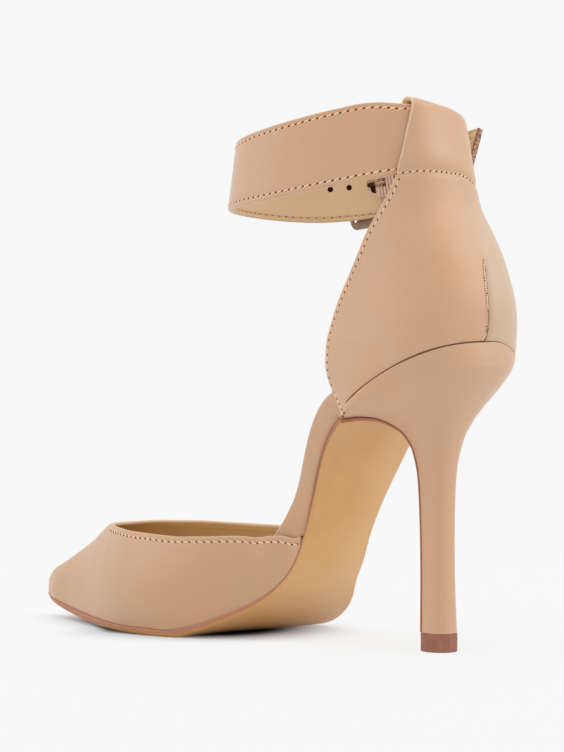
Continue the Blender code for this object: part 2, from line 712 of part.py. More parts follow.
def build_ankle_strap(collection, cutters, finish):
    _, path, upward, outward, width = strap_path(STRAP_STEP)
    section = rectangle(1.0, STRAP_THICKNESS)
    rings = sweep_rings(path, upward * width[:, None], outward, section)
    strap = loft("ankle_strap", rings, collection, finish)
    at, path, upward, outward, index = prong_place()
    for hole in range(1, SPARE_HOLES + 1):
        here = np.argmin(np.abs(at - (at[index] - hole * HOLE_SPACING)))
        reach = outward[here] * STRAP_THICKNESS
        ends = path[here] - reach, path[here] + reach
        cut(strap, as_cutter(cylinder("hole_%d" % hole, *ends, HOLE_RADIUS, cutters, finish)))
    base, point = buckle_point(prong_route()[-2:])
    base = base - unit(point - base) * PRONG_CLEARANCE
    radius = PRONG_RADIUS + PRONG_CLEARANCE
    cut(strap, as_cutter(cylinder("prong_slot", base, point, radius, cutters, finish)))
    return strap


def buckle_axes():
    """Centre and directions of the buckle: along the strap, up and outwards."""
    _, path, upward, _, index = prong_place()
    along = unit(np.array((1.0, BUCKLE_TURN, 0.0)))
    up = unit(upward[index] - along * np.dot(upward[index], along))
    return path[index], along, up, np.cross(along, up)


def buckle_point(offsets):
    """Points given along the strap, up and outwards from the buckle's centre."""
    centre, along, up, out = buckle_axes()
    offsets = np.asarray(offsets, float)
    return centre + offsets[..., 0:1] * along + offsets[..., 1:2] * up + offsets[..., 2:3] * out


def build_buckle_frame(collection, finish):
    """A round bar bent to a rectangle with rounded corners."""
    half_long = (BUCKLE_LENGTH - BUCKLE_BAR) / 2
    half_high = (BUCKLE_HEIGHT - BUCKLE_BAR) / 2
    corners = np.array(((1, 1), (-1, 1), (-1, -1), (1, -1)))
    inner = corners * (half_long - BUCKLE_CORNER, half_high - BUCKLE_CORNER)
    angles = np.arange(4)[:, None] * np.pi / 2 + np.linspace(0, np.pi / 2, 4)
    rays = np.stack([np.cos(angles), np.sin(angles)], axis=-1)
    outline = (inner[:, None, :] + rays * BUCKLE_CORNER).reshape(-1, 2)
    rays = rays.reshape(-1, 2)
    rings = []
    for wide, deep in circle(BUCKLE_BAR / 2, BUCKLE_SIDES):
        spot = outline + rays * wide
        offsets = shoe(spot[:, 0] + REAR_BAR + half_long, spot[:, 1], BUCKLE_OUT + deep)
        rings.append(buckle_point(offsets))
    rings.append(rings[0])
    grid = np.stack(rings)
    thing = add_object("buckle_frame", grid, grid_faces(*grid.shape[:2], closed=True), collection, finish)
    merge(thing)
    turn_faces_out(thing)
    return thing


def prong_route():
    """The prong: hooked round the rear bar, then straight through the strap and over the front bar."""
    clear = BUCKLE_BAR / 2 + GAP + PRONG_RADIUS
    angles = np.radians(np.linspace(-PRONG_HOOK, 0, 8))
    hook = shoe(REAR_BAR + clear * np.cos(angles), 0.0, BUCKLE_OUT + clear * np.sin(angles))
    front = REAR_BAR + BUCKLE_LENGTH - BUCKLE_BAR
    tip = shoe(front + PRONG_OVERRUN, 0.0, BUCKLE_OUT + clear + PRONG_RISE)
    return np.concatenate([hook, tip[None]])


def bent_rings(route, section):
    """Rings of a section carried along a route that lies in the buckle's flat."""
    path = buckle_point(route)
    _, _, up, _ = buckle_axes()
    ups = np.tile(up, (len(path), 1))
    along = unit(np.gradient(path, axis=0))
    return sweep_rings(path, ups, unit(np.cross(along, ups)), section)


def build_buckle_prong(collection, finish):
    rings = bent_rings(prong_route(), circle(PRONG_RADIUS, BUCKLE_SIDES))
    return loft("buckle_prong", rings, collection, finish)


def build_buckle_elastic(collection, cutters, finish):
    """An elastic loop from the strap's short end round the rear bar, slotted for the prong."""
    radius = BUCKLE_BAR / 2 + GAP + ELASTIC_THICKNESS / 2
    angles = np.radians(np.linspace(ELASTIC_WRAP, -ELASTIC_WRAP, 9))
    bend = shoe(REAR_BAR + radius * np.cos(angles), 0.0, BUCKLE_OUT + radius * np.sin(angles))
    centre, along, up, out = buckle_axes()
    end = np.array([SHORT_END[name][0] for name in ("forward", "side", "up")]) - centre
    end = np.array((np.dot(end, along) + ELASTIC_CLEARANCE, 0.0, np.dot(end, out)))
    half = np.array((0.0, 0.0, STRAP_THICKNESS / 4))
    route = np.concatenate([[end + half], bend, [end - half]])
    rings = bent_rings(route, rectangle(ELASTIC_HEIGHT, ELASTIC_THICKNESS))
    elastic = loft("buckle_elastic", rings, collection, finish)
    start = REAR_BAR - ELASTIC_SLOT_BACK
    depth = ELASTIC_SLOT_DEPTH / 2
    slot = buckle_point(shoe(start + depth, 0.0, BUCKLE_OUT + np.array((-depth, depth))))
    section = rectangle(ELASTIC_SLOT, ELASTIC_SLOT_DEPTH)
    rings = sweep_rings(slot, np.tile(up, (2, 1)), np.tile(along, (2, 1)), section)
    cut(elastic, as_cutter(loft("elastic_slot", rings, cutters, finish)))
    return elastic


def build_scene():
    for old in list(bpy.data.objects):
        bpy.data.objects.remove(old, do_unlink=True)
    shoe_parts = bpy.data.collections.new("strap_pump")
    cutters = bpy.data.collections.new("cutters")
    bpy.context.scene.collection.children.link(shoe_parts)
    bpy.context.scene.collection.children.link(cutters)
    leather = material("nude_leather", (0.60, 0.37, 0.23), 0.45)
    lining = material("insole_cover", (0.62, 0.40, 0.25), 0.5)
    sole = material("tan_sole", (0.60, 0.36, 0.13), 0.4)
    tip = material("tip_rubber", (0.30, 0.11, 0.06), 0.6)
    elastic = material("beige_elastic", (0.72, 0.55, 0.40), 0.8)
    metal = material("buckle_metal", (0.75, 0.74, 0.72), 0.2, 1.0)
    build_outsole(shoe_parts, sole)
    build_insole(shoe_parts, lining)
    build_vamp(shoe_parts, leather)
    build_quarter(shoe_parts, leather)
    build_heel(shoe_parts, leather)
    build_heel_tip(shoe_parts, tip)
    build_ankle_strap(shoe_parts, cutters, leather)
    build_buckle_elastic(shoe_parts, cutters, elastic)
    build_buckle_frame(shoe_parts, metal)
    build_buckle_prong(shoe_parts, metal)


build_scene()
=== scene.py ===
import bpy
import bmesh
import numpy as np
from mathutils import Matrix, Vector
from mathutils.bvhtree import BVHTree


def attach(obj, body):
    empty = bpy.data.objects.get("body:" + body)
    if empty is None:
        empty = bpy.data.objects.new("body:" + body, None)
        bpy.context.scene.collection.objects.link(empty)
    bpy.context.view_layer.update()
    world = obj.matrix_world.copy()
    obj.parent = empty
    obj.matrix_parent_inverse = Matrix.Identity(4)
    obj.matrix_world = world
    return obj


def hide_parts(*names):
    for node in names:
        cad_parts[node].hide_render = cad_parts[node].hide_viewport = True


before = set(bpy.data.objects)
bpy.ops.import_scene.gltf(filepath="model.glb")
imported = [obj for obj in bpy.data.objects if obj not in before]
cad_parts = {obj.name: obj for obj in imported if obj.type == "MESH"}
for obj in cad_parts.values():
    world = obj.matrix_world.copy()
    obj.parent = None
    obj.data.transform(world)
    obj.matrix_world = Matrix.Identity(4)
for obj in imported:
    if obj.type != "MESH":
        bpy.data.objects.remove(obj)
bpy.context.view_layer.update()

mm = 0.001
weld = 3e-7
sharpAngle = 48
print("frame loaded,", len(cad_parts), "solids")


class Plan(dict):
    # a settings dictionary whose values are also read as plan.name
    __getattr__ = dict.__getitem__


# camera at the photo's place; the lens is for the long side of the picture
photoCamera = Plan(
    place=(1.01911, 0.97915, 0.14365), looks=(-0.7225, -0.6904, -0.0365), lens=189.81, sensor=36,
)


def aimed(name, data, place, looks):
    # a lamp or camera at a place, looking along a direction
    thing = bpy.data.objects.new(name, data)
    thing.location = place
    thing.rotation_euler = Vector(looks).to_track_quat("-Z", "Y").to_euler()
    bpy.context.scene.collection.objects.link(thing)
    return thing


def addCamera(plan):
    data = bpy.data.cameras.new("photo_camera")
    data.sensor_fit = "AUTO"
    data.sensor_width = plan.sensor
    data.lens = plan.lens
    bpy.context.scene.camera = aimed("photo_camera", data, plan.place, plan.looks)


addCamera(photoCamera)


def mathNode(operation, turned=False):
    # a Wire's operator: a Math node of the wire and the other value, or turned round
    def operator(wire, other):
        first, second = (other, wire) if turned else (wire, other)
        return wire.finish.add("ShaderNodeMath", {"operation": operation}, {0: first, 1: second})
    return operator


class Wire:
    # an output socket; sums, differences and products of wires and numbers add Math nodes
    __add__ = mathNode("ADD")
    __radd__ = mathNode("ADD", True)
    __sub__ = mathNode("SUBTRACT")
    __rsub__ = mathNode("SUBTRACT", True)
    __mul__ = mathNode("MULTIPLY")
    __rmul__ = mathNode("MULTIPLY", True)

    def __init__(self, finish, socket):
        self.finish = finish
        self.socket = socket


class Finish:
    # one material and its node tree
    def __init__(self, name, colour, roughness, **constants):
        self.material = bpy.data.materials.new(name)
        self.material.use_nodes = True
        self.tree = self.material.node_tree
        self.shader = self.tree.nodes["Principled BSDF"]
        self.material.diffuse_color = (*colour, 1.0)
        self.put("Base Color", (*colour, 1.0))
        self.put("Roughness", roughness)
        for socket, value in constants.items():
            self.put(socket.replace("_", " "), value)
        self.spot = self.add("ShaderNodeTexCoord", {}, {}, "Object")

    def put(self, socket, value):
        self.join(self.shader.inputs[socket], value)

    def join(self, socket, value):
        if isinstance(value, Wire):
            self.tree.links.new(value.socket, socket)
        else:
            socket.default_value = value

    def add(self, kind, settings, inputs, output=0):
        node = self.tree.nodes.new(kind)
        for name, value in settings.items():
            setattr(node, name, value)
        for name, value in inputs.items():
            self.join(node.inputs[name], value)
        return Wire(self, node.outputs[output])

    def axis(self, index):
        # one coordinate of the place in metres: 0 right, 1 back, 2 up
        return self.add("ShaderNodeSeparateXYZ", {}, {0: self.spot}, index)

    def noise(self, size, detail=2.0, rough=0.5):
        # soft noise whose features are about size millimetres
        wanted = {"Vector": self.spot, "Scale": 1 / (size * mm), "Detail": detail, "Roughness": rough}
        return self.add("ShaderNodeTexNoise", {}, wanted, "Fac")

    def streaks(self, scale, detail):
        # noise pulled long, by its own scale along each axis
        pulled = self.add("ShaderNodeMapping", {}, {"Vector": self.spot, "Scale": scale}, "Vector")
        return self.add("ShaderNodeTexNoise", {}, {"Vector": pulled, "Scale": 1.0, "Detail": detail}, "Fac")

    def cells(self, size):
        # distance to the nearest of scattered points, about size millimetres apart
        wanted = {"Vector": self.spot, "Scale": 1 / (size * mm)}
        return self.add("ShaderNodeTexVoronoi", {}, wanted, "Distance")

    def painted(self):
        # the value that the mesh holds at each point
        return self.add("ShaderNodeAttribute", {"attribute_name": "tone"}, {}, "Fac")

    def step(self, value, low, high):
        # 0 below low, 1 above high, smooth between
        span = {"Value": value, "From Min": low, "From Max": high}
        return self.add("ShaderNodeMapRange", {"interpolation_type": "SMOOTHSTEP"}, span, "Result")

    def tint(self, factor, first, second):
        def full(colour):
            return colour if isinstance(colour, Wire) else (*colour, 1.0)
        mixed = {0: factor, 6: full(first), 7: full(second)}
        return self.add("ShaderNodeMix", {"data_type": "RGBA"}, mixed, 2)

    def relief(self, height, depth):
        # bump whose full height is depth millimetres
        wanted = {"Height": height, "Distance": depth * mm, "Strength": 1.0}
        self.put("Normal", self.add("ShaderNodeBump", {}, wanted, "Normal"))


def shade(colour, factor):
    return tuple(min(1.0, part * factor) for part in colour)


# leather: fine pores under a thin even coat, clouded a little in tone, paler where the mesh says so: a
# painted highlight on the heel's rim and painted sheen on the quarter beside the dart
leatherLook = Plan(
    colour=(0.602, 0.356, 0.208), warm=(0.612, 0.348, 0.192), pale=(0.59, 0.405, 0.262),
    cloud=28.0, fleck=1.1, pore=0.42, relief=0.035, rough=0.46,
)
# painted shade: a darker copy of the same leather for the vamp and the insole's cover
shadedVampLook = Plan(leatherLook, colour=(0.555, 0.326, 0.182), warm=(0.565, 0.319, 0.168))
# painted highlight: a paler copy of the same leather for edges and lips that catch the light
edgeHighlightLook = Plan(leatherLook, colour=(0.7, 0.465, 0.3), warm=(0.705, 0.46, 0.285))


def makeLeather(name, look):
    sheen = dict(Sheen_Weight=0.3, Sheen_Roughness=0.4)
    finish = Finish(name, look.colour, look.rough, Coat_Roughness=0.38, **sheen)
    cloud = finish.step(finish.noise(look.cloud, 3.0), 0.35, 0.68)
    fleck = finish.step(finish.noise(look.fleck, 3.0, 0.6), 0.3, 0.75)
    clouded = finish.tint(cloud, look.colour, look.warm)
    flecked = finish.tint(fleck * 0.35, clouded, shade(look.colour, 0.93))
    # the mesh's tone mixes in the pale colour as a painted highlight
    finish.put("Base Color", finish.tint(finish.painted(), flecked, look.pale))
    finish.put("Roughness", look.rough - 0.03 + 0.05 * cloud + 0.04 * fleck)
    finish.put("Coat Weight", 0.2 + 0.08 * cloud)
    pores = finish.step(finish.cells(look.pore), 0.0, 0.55)
    finish.relief(pores * 0.6 + finish.noise(look.pore * 2.4, 3.0) * 0.8, look.relief)
    return finish.material


# lining: napped, and browner towards the toe with painted shade, deep inside the shoe
liningLook = Plan(
    colour=(0.77, 0.55, 0.305), deep=(0.72, 0.495, 0.262), fore=(0.56, 0.375, 0.17), foreBack=(-0.085, 0.01),
    cloud=14.0, nap=0.35, relief=0.05, rough=0.62,
)
# the tail's inside is darker, behind and outside of a corner
strapLiningLook = Plan(
    liningLook, colour=(0.79, 0.585, 0.375), deep=(0.75, 0.53, 0.325), worn=(0.4, 0.215, 0.085),
    wornBack=(0.044, 0.05), wornRight=(-0.0315, -0.0295), blotch=1.3,
)


def makeLining(name, look):
    finish = Finish(name, look.colour, look.rough, Specular_IOR_Level=0.3)
    cloud = finish.step(finish.noise(look.cloud, 4.0), 0.3, 0.7)
    nap = finish.noise(look.nap, 2.0, 0.7)
    base = finish.tint(cloud * 0.6 + nap * 0.25, look.colour, look.deep)
    # painted shade: darker towards the toe
    base = finish.tint(1 - finish.step(finish.axis(1), *look.foreBack), base, look.fore)
    if "worn" in look:
        worn = finish.step(finish.axis(1), *look.wornBack)
        worn = worn * (1 - finish.step(finish.axis(0), *look.wornRight))
        blotch = finish.step(finish.noise(look.blotch, 3.0), 0.38, 0.62)
        base = finish.tint(worn * (0.45 + 0.5 * blotch), base, look.worn)
    finish.put("Base Color", base)
    finish.put("Roughness", look.rough + 0.12 * nap)
    finish.relief(nap, look.relief)
    return finish.material


# sole: smooth golden tan, with its edge painted rust brown where the mesh says so; its sides are tones
# for the lateral side, paler as painted light, and low down, darker as painted shade: axis, where the tone is
# full, where it ends, its share and colour
soleLook = Plan(
    colour=(0.612, 0.312, 0.092), pale=(0.655, 0.372, 0.135), paint=(0.4, 0.155, 0.082), rough=0.4,
    sides=((0, -0.016, 0.002, 0.55, (0.69, 0.42, 0.185)), (2, 0.0, 0.026, 0.85, (0.49, 0.215, 0.05))),
    cloud=22.0, streak=(120.0, 26.0, 120.0), fine=0.5, ragged=2.6, blotch=3.0, relief=0.025,
)


def makeSole(name, look):
    finish = Finish(name, look.colour, look.rough, Coat_Roughness=0.3)
    cloud = finish.step(finish.noise(look.cloud), 0.3, 0.7)
    streak = finish.streaks(look.streak, 3.0)
    ground = finish.tint(cloud * 0.7 + streak * 0.3, look.colour, look.pale)
    # painted light on the lateral side, painted shade low down
    for axis, low, high, share, tone in look.sides:
        ground = finish.tint(share * (1 - finish.step(finish.axis(axis), low, high)), ground, tone)
    edge = finish.step(finish.painted() + 0.22 * (finish.noise(look.ragged) - 0.5), 0.4, 0.6)
    paint = finish.tint(finish.noise(look.blotch, 3.0), look.paint, shade(look.paint, 1.22))
    finish.put("Base Color", finish.tint(edge, ground, paint))
    finish.put("Roughness", look.rough + 0.06 * streak + 0.1 * edge)
    finish.put("Coat Weight", 0.12 - 0.1 * edge)
    finish.relief(finish.noise(look.fine) * 0.6 + streak * 0.4, look.relief)
    return finish.material


# the metal is polished outside; on the side that lies on the leather it takes a painted reflection of the
# leather, in another tone above a height
metalLook = Plan(
    colour=(0.76, 0.745, 0.72), dull=(0.27, 0.19, 0.12), above=(0.56, 0.4, 0.26), split=(0.148, 0.152),
    bands=(), rough=0.16, scratch=(900.0, 120.0, 900.0), haze=4.0, relief=0.004,
)
# the prong has painted shade: it is dark on its inner side and in its hole, between two places along the
# shoe; behind it a painted reflection takes the elastic's tone
prongLook = Plan(
    metalLook, dull=(0.06, 0.03, 0.016), above=(0.06, 0.03, 0.016),
    bands=((0.0182, 0.019, (0.06, 0.03, 0.016)), (0.0236, 0.0244, (0.42, 0.29, 0.22))),
)


def makeMetal(name, look):
    finish = Finish(name, look.colour, look.rough, Metallic=1.0)
    scratch = finish.streaks(look.scratch, 4.0)
    haze = finish.noise(look.haze, 3.0)
    # the side facing inwards takes the painted reflection and shade
    facing = finish.add("ShaderNodeTexCoord", {}, {}, "Normal")
    dull = finish.step(finish.add("ShaderNodeSeparateXYZ", {}, {0: facing}, 0), 0.55, 0.85)
    bright = finish.tint(haze * 0.5, look.colour, shade(look.colour, 0.82))
    inside = finish.tint(finish.step(finish.axis(2), *look.split), look.dull, look.above)
    base = finish.tint(dull, bright, inside)
    for low, high, tone in look.bands:
        base = finish.tint(finish.step(finish.axis(1), low, high), base, tone)
    finish.put("Base Color", base)
    finish.put("Roughness", look.rough + 0.08 * scratch + 0.06 * haze + 0.2 * dull)
    finish.relief(scratch, look.relief)
    return finish.material


# small even parts: colour, dark tone, roughness, shine, grain in millimetres, depth of the bump
plainLooks = {
    "cut_end": ((0.56, 0.3, 0.19), (0.13, 0.052, 0.024), 0.7, 0.5, 0.9, 0.05),
    "tip_rubber": ((0.34, 0.13, 0.078), (0.27, 0.098, 0.058), 0.52, 0.5, 3.0, 0.02),
    "cream_thread": ((0.9, 0.67, 0.47), (0.8, 0.57, 0.37), 0.6, 0.5, 0.6, 0.05),
    # painted shade: dark discs for the needle holes, and the walls of cut holes
    "needle_hole": ((0.08, 0.024, 0.005), (0.045, 0.012, 0.002), 0.9, 0.0, 0.5, 0.02),
    "seam_shade": ((0.23, 0.108, 0.046), (0.17, 0.074, 0.032), 0.8, 0.1, 0.8, 0.02),
    "inner_thread": ((0.69, 0.49, 0.29), (0.6, 0.41, 0.23), 0.6, 0.5, 0.6, 0.05),
    # painted shade for the needle holes on the inner side
    "inner_hole": ((0.33, 0.195, 0.09), (0.26, 0.15, 0.07), 0.9, 0.0, 0.5, 0.02),
    "elastic_yarn": ((0.78, 0.6, 0.5), (0.66, 0.48, 0.39), 0.75, 0.5, 0.5, 0.04),
    # painted shade in the elastic's furrows
    "elastic_furrow": ((0.42, 0.255, 0.18), (0.33, 0.19, 0.13), 0.8, 0.5, 0.5, 0.04),
}


def makePlain(name, look):
    # two close tones in soft noise, with a fine bump
    colour, dark, rough, shine, grain, depth = look
    finish = Finish(name, colour, rough, Specular_IOR_Level=shine)
    tone = finish.step(finish.noise(grain, 3.0, 0.6), 0.3, 0.7)
    finish.put("Base Color", finish.tint(tone, colour, dark))
    finish.put("Roughness", rough + 0.1 * tone)
    finish.relief(finish.noise(grain * 0.3), depth)
    return finish.material


finishes = {name: makePlain(name, look) for name, look in plainLooks.items()}
for name, maker, look in (
    ("nude_leather", makeLeather, leatherLook),
    ("heel_leather", makeLeather, leatherLook),
    ("vamp_leather", makeLeather, shadedVampLook),
    ("turned_edge", makeLeather, edgeHighlightLook),
    ("beige_lining", makeLining, liningLook),
    ("strap_lining", makeLining, strapLiningLook),
    ("tan_sole", makeSole, soleLook),
    ("silver_metal", makeMetal, metalLook),
    ("prong_metal", makeMetal, prongLook),
):
    finishes[name] = maker(name, look)
print(len(finishes), "finishes made")

# shoe directions in millimetres: forward from the back of the heel seat, side (medial is +), up
forwardCentre = 104.77
sideCentre = -4.5
toeForward = 213.0
gap = 0.3
lateralWider = 1.05
bluntPower = 2.55


def table(names, rows):
    return Plan(zip(names.split(), np.array(rows, float).T))


def joined(*parts, axis=0):
    return np.concatenate(parts, axis)


def smooth(at, stations, values):
    # cubic curve through every row: slopes are the rows' weighted steps
    stations = np.asarray(stations, float)
    widths = np.diff(stations)
    steps = np.diff(values) / widths
    slopes = np.empty_like(stations)
    slopes[1:-1] = (steps[:-1] * widths[1:] + steps[1:] * widths[:-1]) / (widths[1:] + widths[:-1])
    slopes[0] = 1.5 * steps[0] - 0.5 * slopes[1]
    slopes[-1] = 1.5 * steps[-1] - 0.5 * slopes[-2]
    at = np.clip(at, stations[0], stations[-1])
    row = np.clip(np.searchsorted(stations, at, side="right") - 1, 0, len(stations) - 2)
    width = widths[row]
    t = (at - stations[row]) / width
    start = (1 + 2 * t) * (1 - t) ** 2 * values[row] + t * (1 - t) ** 2 * width * slopes[row]
    end = t ** 2 * (3 - 2 * t) * values[row + 1] + t ** 2 * (t - 1) * width * slopes[row + 1]
    return start + end


def read(rows, at, name):
    # one column of a table, over its first column
    return smooth(at, next(iter(rows.values())), rows[name])


def shoe(forward, side, up):
    return np.stack(np.broadcast_arrays(forward, side, up), axis=-1).astype(float)


def place(points):
    # millimetres in the shoe's directions to metres in the frame
    right = points[..., 1] - sideCentre
    back = forwardCentre - points[..., 0]
    return np.stack([right, back, points[..., 2]], axis=-1) * mm


def unit(vectors):
    return vectors / np.maximum(np.linalg.norm(vectors, axis=-1, keepdims=True), 1e-12)


def hump(value, middle, spread):
    # bell curve of height 1
    return np.exp(-((value - middle) / spread) ** 2)


def rise(value, low, high):
    # 0 below low, 1 above high, smooth between
    t = np.clip((value - low) / (high - low), 0, 1)
    return t * t * (3 - 2 * t)


def fall(value, low, high):
    return 1 - rise(value, low, high)


def blunt(share):
    # superellipse from 0 at the back of a round to 1 at its full width
    return (1 - (1 - np.clip(share, 0, 1)) ** bluntPower) ** (1 / bluntPower)


def quarterTurn(steps):
    return np.linspace(0, np.pi / 2, steps)


def ringAngles(sides):
    return np.arange(sides) * 2 * np.pi / sides


def spreadOut(values, width):
    # running mean along the first axis, with the ends held
    pad = joined(np.repeat(values[:1], width, 0), values, np.repeat(values[-1:], width, 0))
    total = np.cumsum(joined(np.zeros_like(pad[:1]), pad), axis=0)
    return (total[2 * width + 1:] - total[:-2 * width - 1]) / (2 * width + 1)


def turnedPath(path, width):
    # a flat path's directions turned by a right angle, averaged over a few points
    along = unit(np.gradient(path, axis=0))
    return unit(spreadOut(np.stack([-along[:, 1], along[:, 0]], axis=-1), width))


def distances(points):
    # length along a run of points, from its start
    return joined([0], np.cumsum(np.linalg.norm(np.diff(points, axis=0), axis=1)))


def readAlong(points, values, at):
    # values read at distances along a run of points
    return np.stack([np.interp(at, distances(points), column) for column in values.T], axis=-1)


def gridQuads(rows, columns, ring):
    # quads between neighbours of a grid, row by row; a ring joins the last column to the first
    across = np.arange(columns if ring else columns - 1)
    down = np.arange(rows - 1)[:, None] * columns
    here = down + across
    beside = down + (across + 1) % columns
    return np.stack([here, beside, beside + columns, here + columns], axis=-1)


class Sheets:
    # gathers grids of points as one mesh: each brings its quads, finish and painted tone
    def __init__(self):
        self.parts = []
        self.count = 0

    def add(self, grid, finish=0, ring=False, tone=0.0):
        rows, columns = grid.shape[:2]
        quads = gridQuads(rows, columns, ring)
        finish = np.broadcast_to(finish, quads.shape[:2]).reshape(-1)
        tone = np.broadcast_to(tone, (rows, columns)).reshape(-1)
        self.parts.append((grid.reshape(-1, 3), quads.reshape(-1, 4) + self.count, finish, tone))
        self.count += rows * columns

    def piece(self, name, looks, slot, node=None):
        points, quads, finish, tone = [np.concatenate(part) for part in zip(*self.parts)]
        mesh = bpy.data.meshes.new(name)
        mesh.from_pydata(place(points).tolist(), [], quads.tolist())
        for look in looks.split():
            mesh.materials.append(finishes[look])
        mesh.polygons.foreach_set("material_index", finish.astype(np.int32))
        layer = mesh.attributes.new("tone", "FLOAT", "POINT")
        layer.data.foreach_set("value", tone.astype(np.float32))
        edit = bmesh.new()
        edit.from_mesh(mesh)
        bmesh.ops.remove_doubles(edit, verts=edit.verts, dist=weld)
        bmesh.ops.dissolve_degenerate(edit, edges=edit.edges, dist=weld)
        bmesh.ops.recalc_face_normals(edit, faces=edit.faces)
        edit.to_mesh(mesh)
        edit.free()
        mesh.shade_smooth()
        mesh.set_sharp_from_angle(angle=np.radians(sharpAngle))
        thing = bpy.data.objects.new(name, mesh)
        bpy.context.scene.collection.objects.link(thing)
        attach(thing, "root")
        if node:
            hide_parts(node)
        print("made", name, len(mesh.polygons), "faces")
        return thing


def capped(rings):
    # closes both ends of a run of rings on the middle of the end ring
    first, last = [np.broadcast_to(end.mean(axis=1, keepdims=True), end.shape)
                   for end in (rings[:1], rings[-1:])]
    return joined(first, rings, last)


def closedPiece(rings, name, looks, slot, node=None, finish=0, tone=0.0):
    # one run of rings, closed at both ends
    sheets = Sheets()
    sheets.add(capped(rings), finish, True, tone)
    return sheets.piece(name, looks, slot, node)


def gridNormals(points):
    # cross product of the directions along the columns and along the rows
    return unit(np.cross(np.gradient(points, axis=0), np.gradient(points, axis=1)))


def rimStrip(edge, normals, away, wall, steps):
    # half circle across a wall: from the outer edge, over the side that faces away, to the inner edge
    angles = np.linspace(0, np.pi, steps + 1)[None, :, None]
    half = np.broadcast_to(np.asarray(wall, float) / 2, len(edge))[:, None, None]
    middle = edge[:, None] - normals[:, None] * half
    return middle + (normals[:, None] * np.cos(angles) + away[:, None] * np.sin(angles)) * half


def sectionShares(sideIn, across):
    # across a section: share of the way from the lateral to the medial edge, and of the corner inwards
    flat = np.ones(len(sideIn))
    return joined(flat, 1 - across, flat * 0), joined(-sideIn, 2 * across - 1, sideIn[::-1])


def mirrored(edge, middle):
    # values across a section: an edge, the middle, then the edge in reverse
    middle = np.broadcast_to(middle, (*edge.shape[:-1], len(middle)))
    return joined(edge, middle, edge[..., ::-1], axis=-1)


# rows: forward, up, medial side, lateral side, cross slope of the sole's upper side
soleRows = table("forward up medial lateral lift", [
    (49, 79.8, 19.6, -22, 0), (53.5, 75.9, 18.4, -24.6, 0), (58, 70.2, 17.3, -26.2, 0),
    (61.4, 63.2, 16.4, -25.3, 0), (67.5, 47.2, 14.8, -21.2, 0), (72, 36.5, 14, -20.4, 0),
    (76, 28.4, 13.8, -21.8, 0), (82, 20.8, 14.8, -24.4, 0), (90, 13.8, 17.8, -30.2, 0.03),
    (100, 8.1, 22.5, -35.2, 0.045), (110, 4.3, 27, -38, 0.032), (121, 2.5, 30.3, -37.8, 0),
    (133, 2.5, 31.3, -35, 0), (146, 2.5, 29.8, -30.6, 0), (160, 3, 25.6, -24.9, 0),
    (176, 3.9, 19, -17.2, 0), (193, 5.3, 12.2, -9, 0), (205, 7.2, 8.4, -3.2, 0),
    (210.5, 8.3, 5.2, -0.4, 0), (213, 8.9, 3, 3, 0),
])
soleThickness = table("forward thick", [
    (49, 1.9), (56, 1.7), (62, 1.35), (82, 1.3), (108, 2.1), (121, 2.5), (146, 2.5), (180, 2.3), (205, 1.6),
    (213, 0.9),
])
# heel sections from the seat to the tip: front line, rear point, half widths
heelRows = table("front frontUp frontHalf back backUp half dip", [
    (46.5, 83.2, 21, -1.8, 106, 26.4, 1.2), (48.8, 79.7, 19.6, -2.6, 100.4, 24.6, 1.2),
    (45, 80.1, 14.4, -2.4, 96.6, 21.8, 1.2), (39.8, 79.2, 9.4, 0.9, 90.4, 16.8, 1.2),
    (33.6, 75.8, 6.2, 6.2, 84.2, 12.6, 1.15), (30.3, 72, 4.9, 10, 78.8, 9.6, 1.1),
    (28.2, 67.4, 4.3, 13.1, 72.2, 7.3, 1), (26.4, 57, 3.8, 15.4, 59.5, 5.4, 1),
    (25.5, 32, 3.6, 15.8, 32.5, 4.8, 1), (25.4, 6.5, 3.8, 14.9, 6.5, 5.2, 1),
])
lowestRow = len(heelRows.half) - 1
seatPlan = Plan(
    back=-1.8, front=46.5, high=106.0, drop=22.8, power=1.2, dip=2.9, dipRound=0.28, dipFade=(14, 44),
)


def turn(forward):
    # angle whose cosine spaces stations along the shoe, so that the toe closes round
    return np.arccos(np.clip(1 - 2 * np.asarray(forward, float) / toeForward, -1, 1))


def toeStations(start, end, count):
    # stations at even angles, which crowd towards the toe
    return toeForward * (1 - np.cos(np.linspace(turn(start), turn(end), count))) / 2


def soleUp(forward, side=0.0):
    # upper side of the sole: a height along the shoe and a cross slope
    return read(soleRows, forward, "up") + read(soleRows, forward, "lift") * side


def soleEdge(forward, name):
    return smooth(turn(forward), turn(soleRows.forward), soleRows[name])


def seatShare(forward):
    return np.clip((forward - seatPlan.back) / (seatPlan.front - seatPlan.back), 0, None)


def seatUp(forward):
    # heel seat's rim: flat at the back, falling towards the breast as a power of the distance
    return seatPlan.high - seatPlan.drop * seatShare(forward) ** seatPlan.power


def lateralDip(forward):
    # how far the seat's rim sinks round the lateral side of the back, by the root of the distance
    around = np.sqrt(np.minimum(seatShare(forward), 1))
    return seatPlan.dip * rise(around, 0.0, seatPlan.dipRound) * fall(forward, *seatPlan.dipFade)


heelPlan = Plan(
    roundShare=0.58, taperPower=1.8, dipRows=1.6, firstRow=0.04, shaftRow=7, rimRadius=0.55, rimSteps=5,
    paleBefore=(6, 24), paleBeside=(-4, 16), upperSteps=110, lowerSteps=36, backSteps=46, sideSteps=18,
    frontSteps=6,
)


def heelHalfWidth(share, half, frontHalf):
    # blunt superellipse round the back, then a taper to the front line
    taper = np.clip((share - heelPlan.roundShare) / (1 - heelPlan.roundShare), 0, 1)
    return half * blunt(share / heelPlan.roundShare) - (half - frontHalf) * taper ** heelPlan.taperPower


def heelRead(places, name):
    return smooth(places, np.arange(lowestRow + 1), heelRows[name])


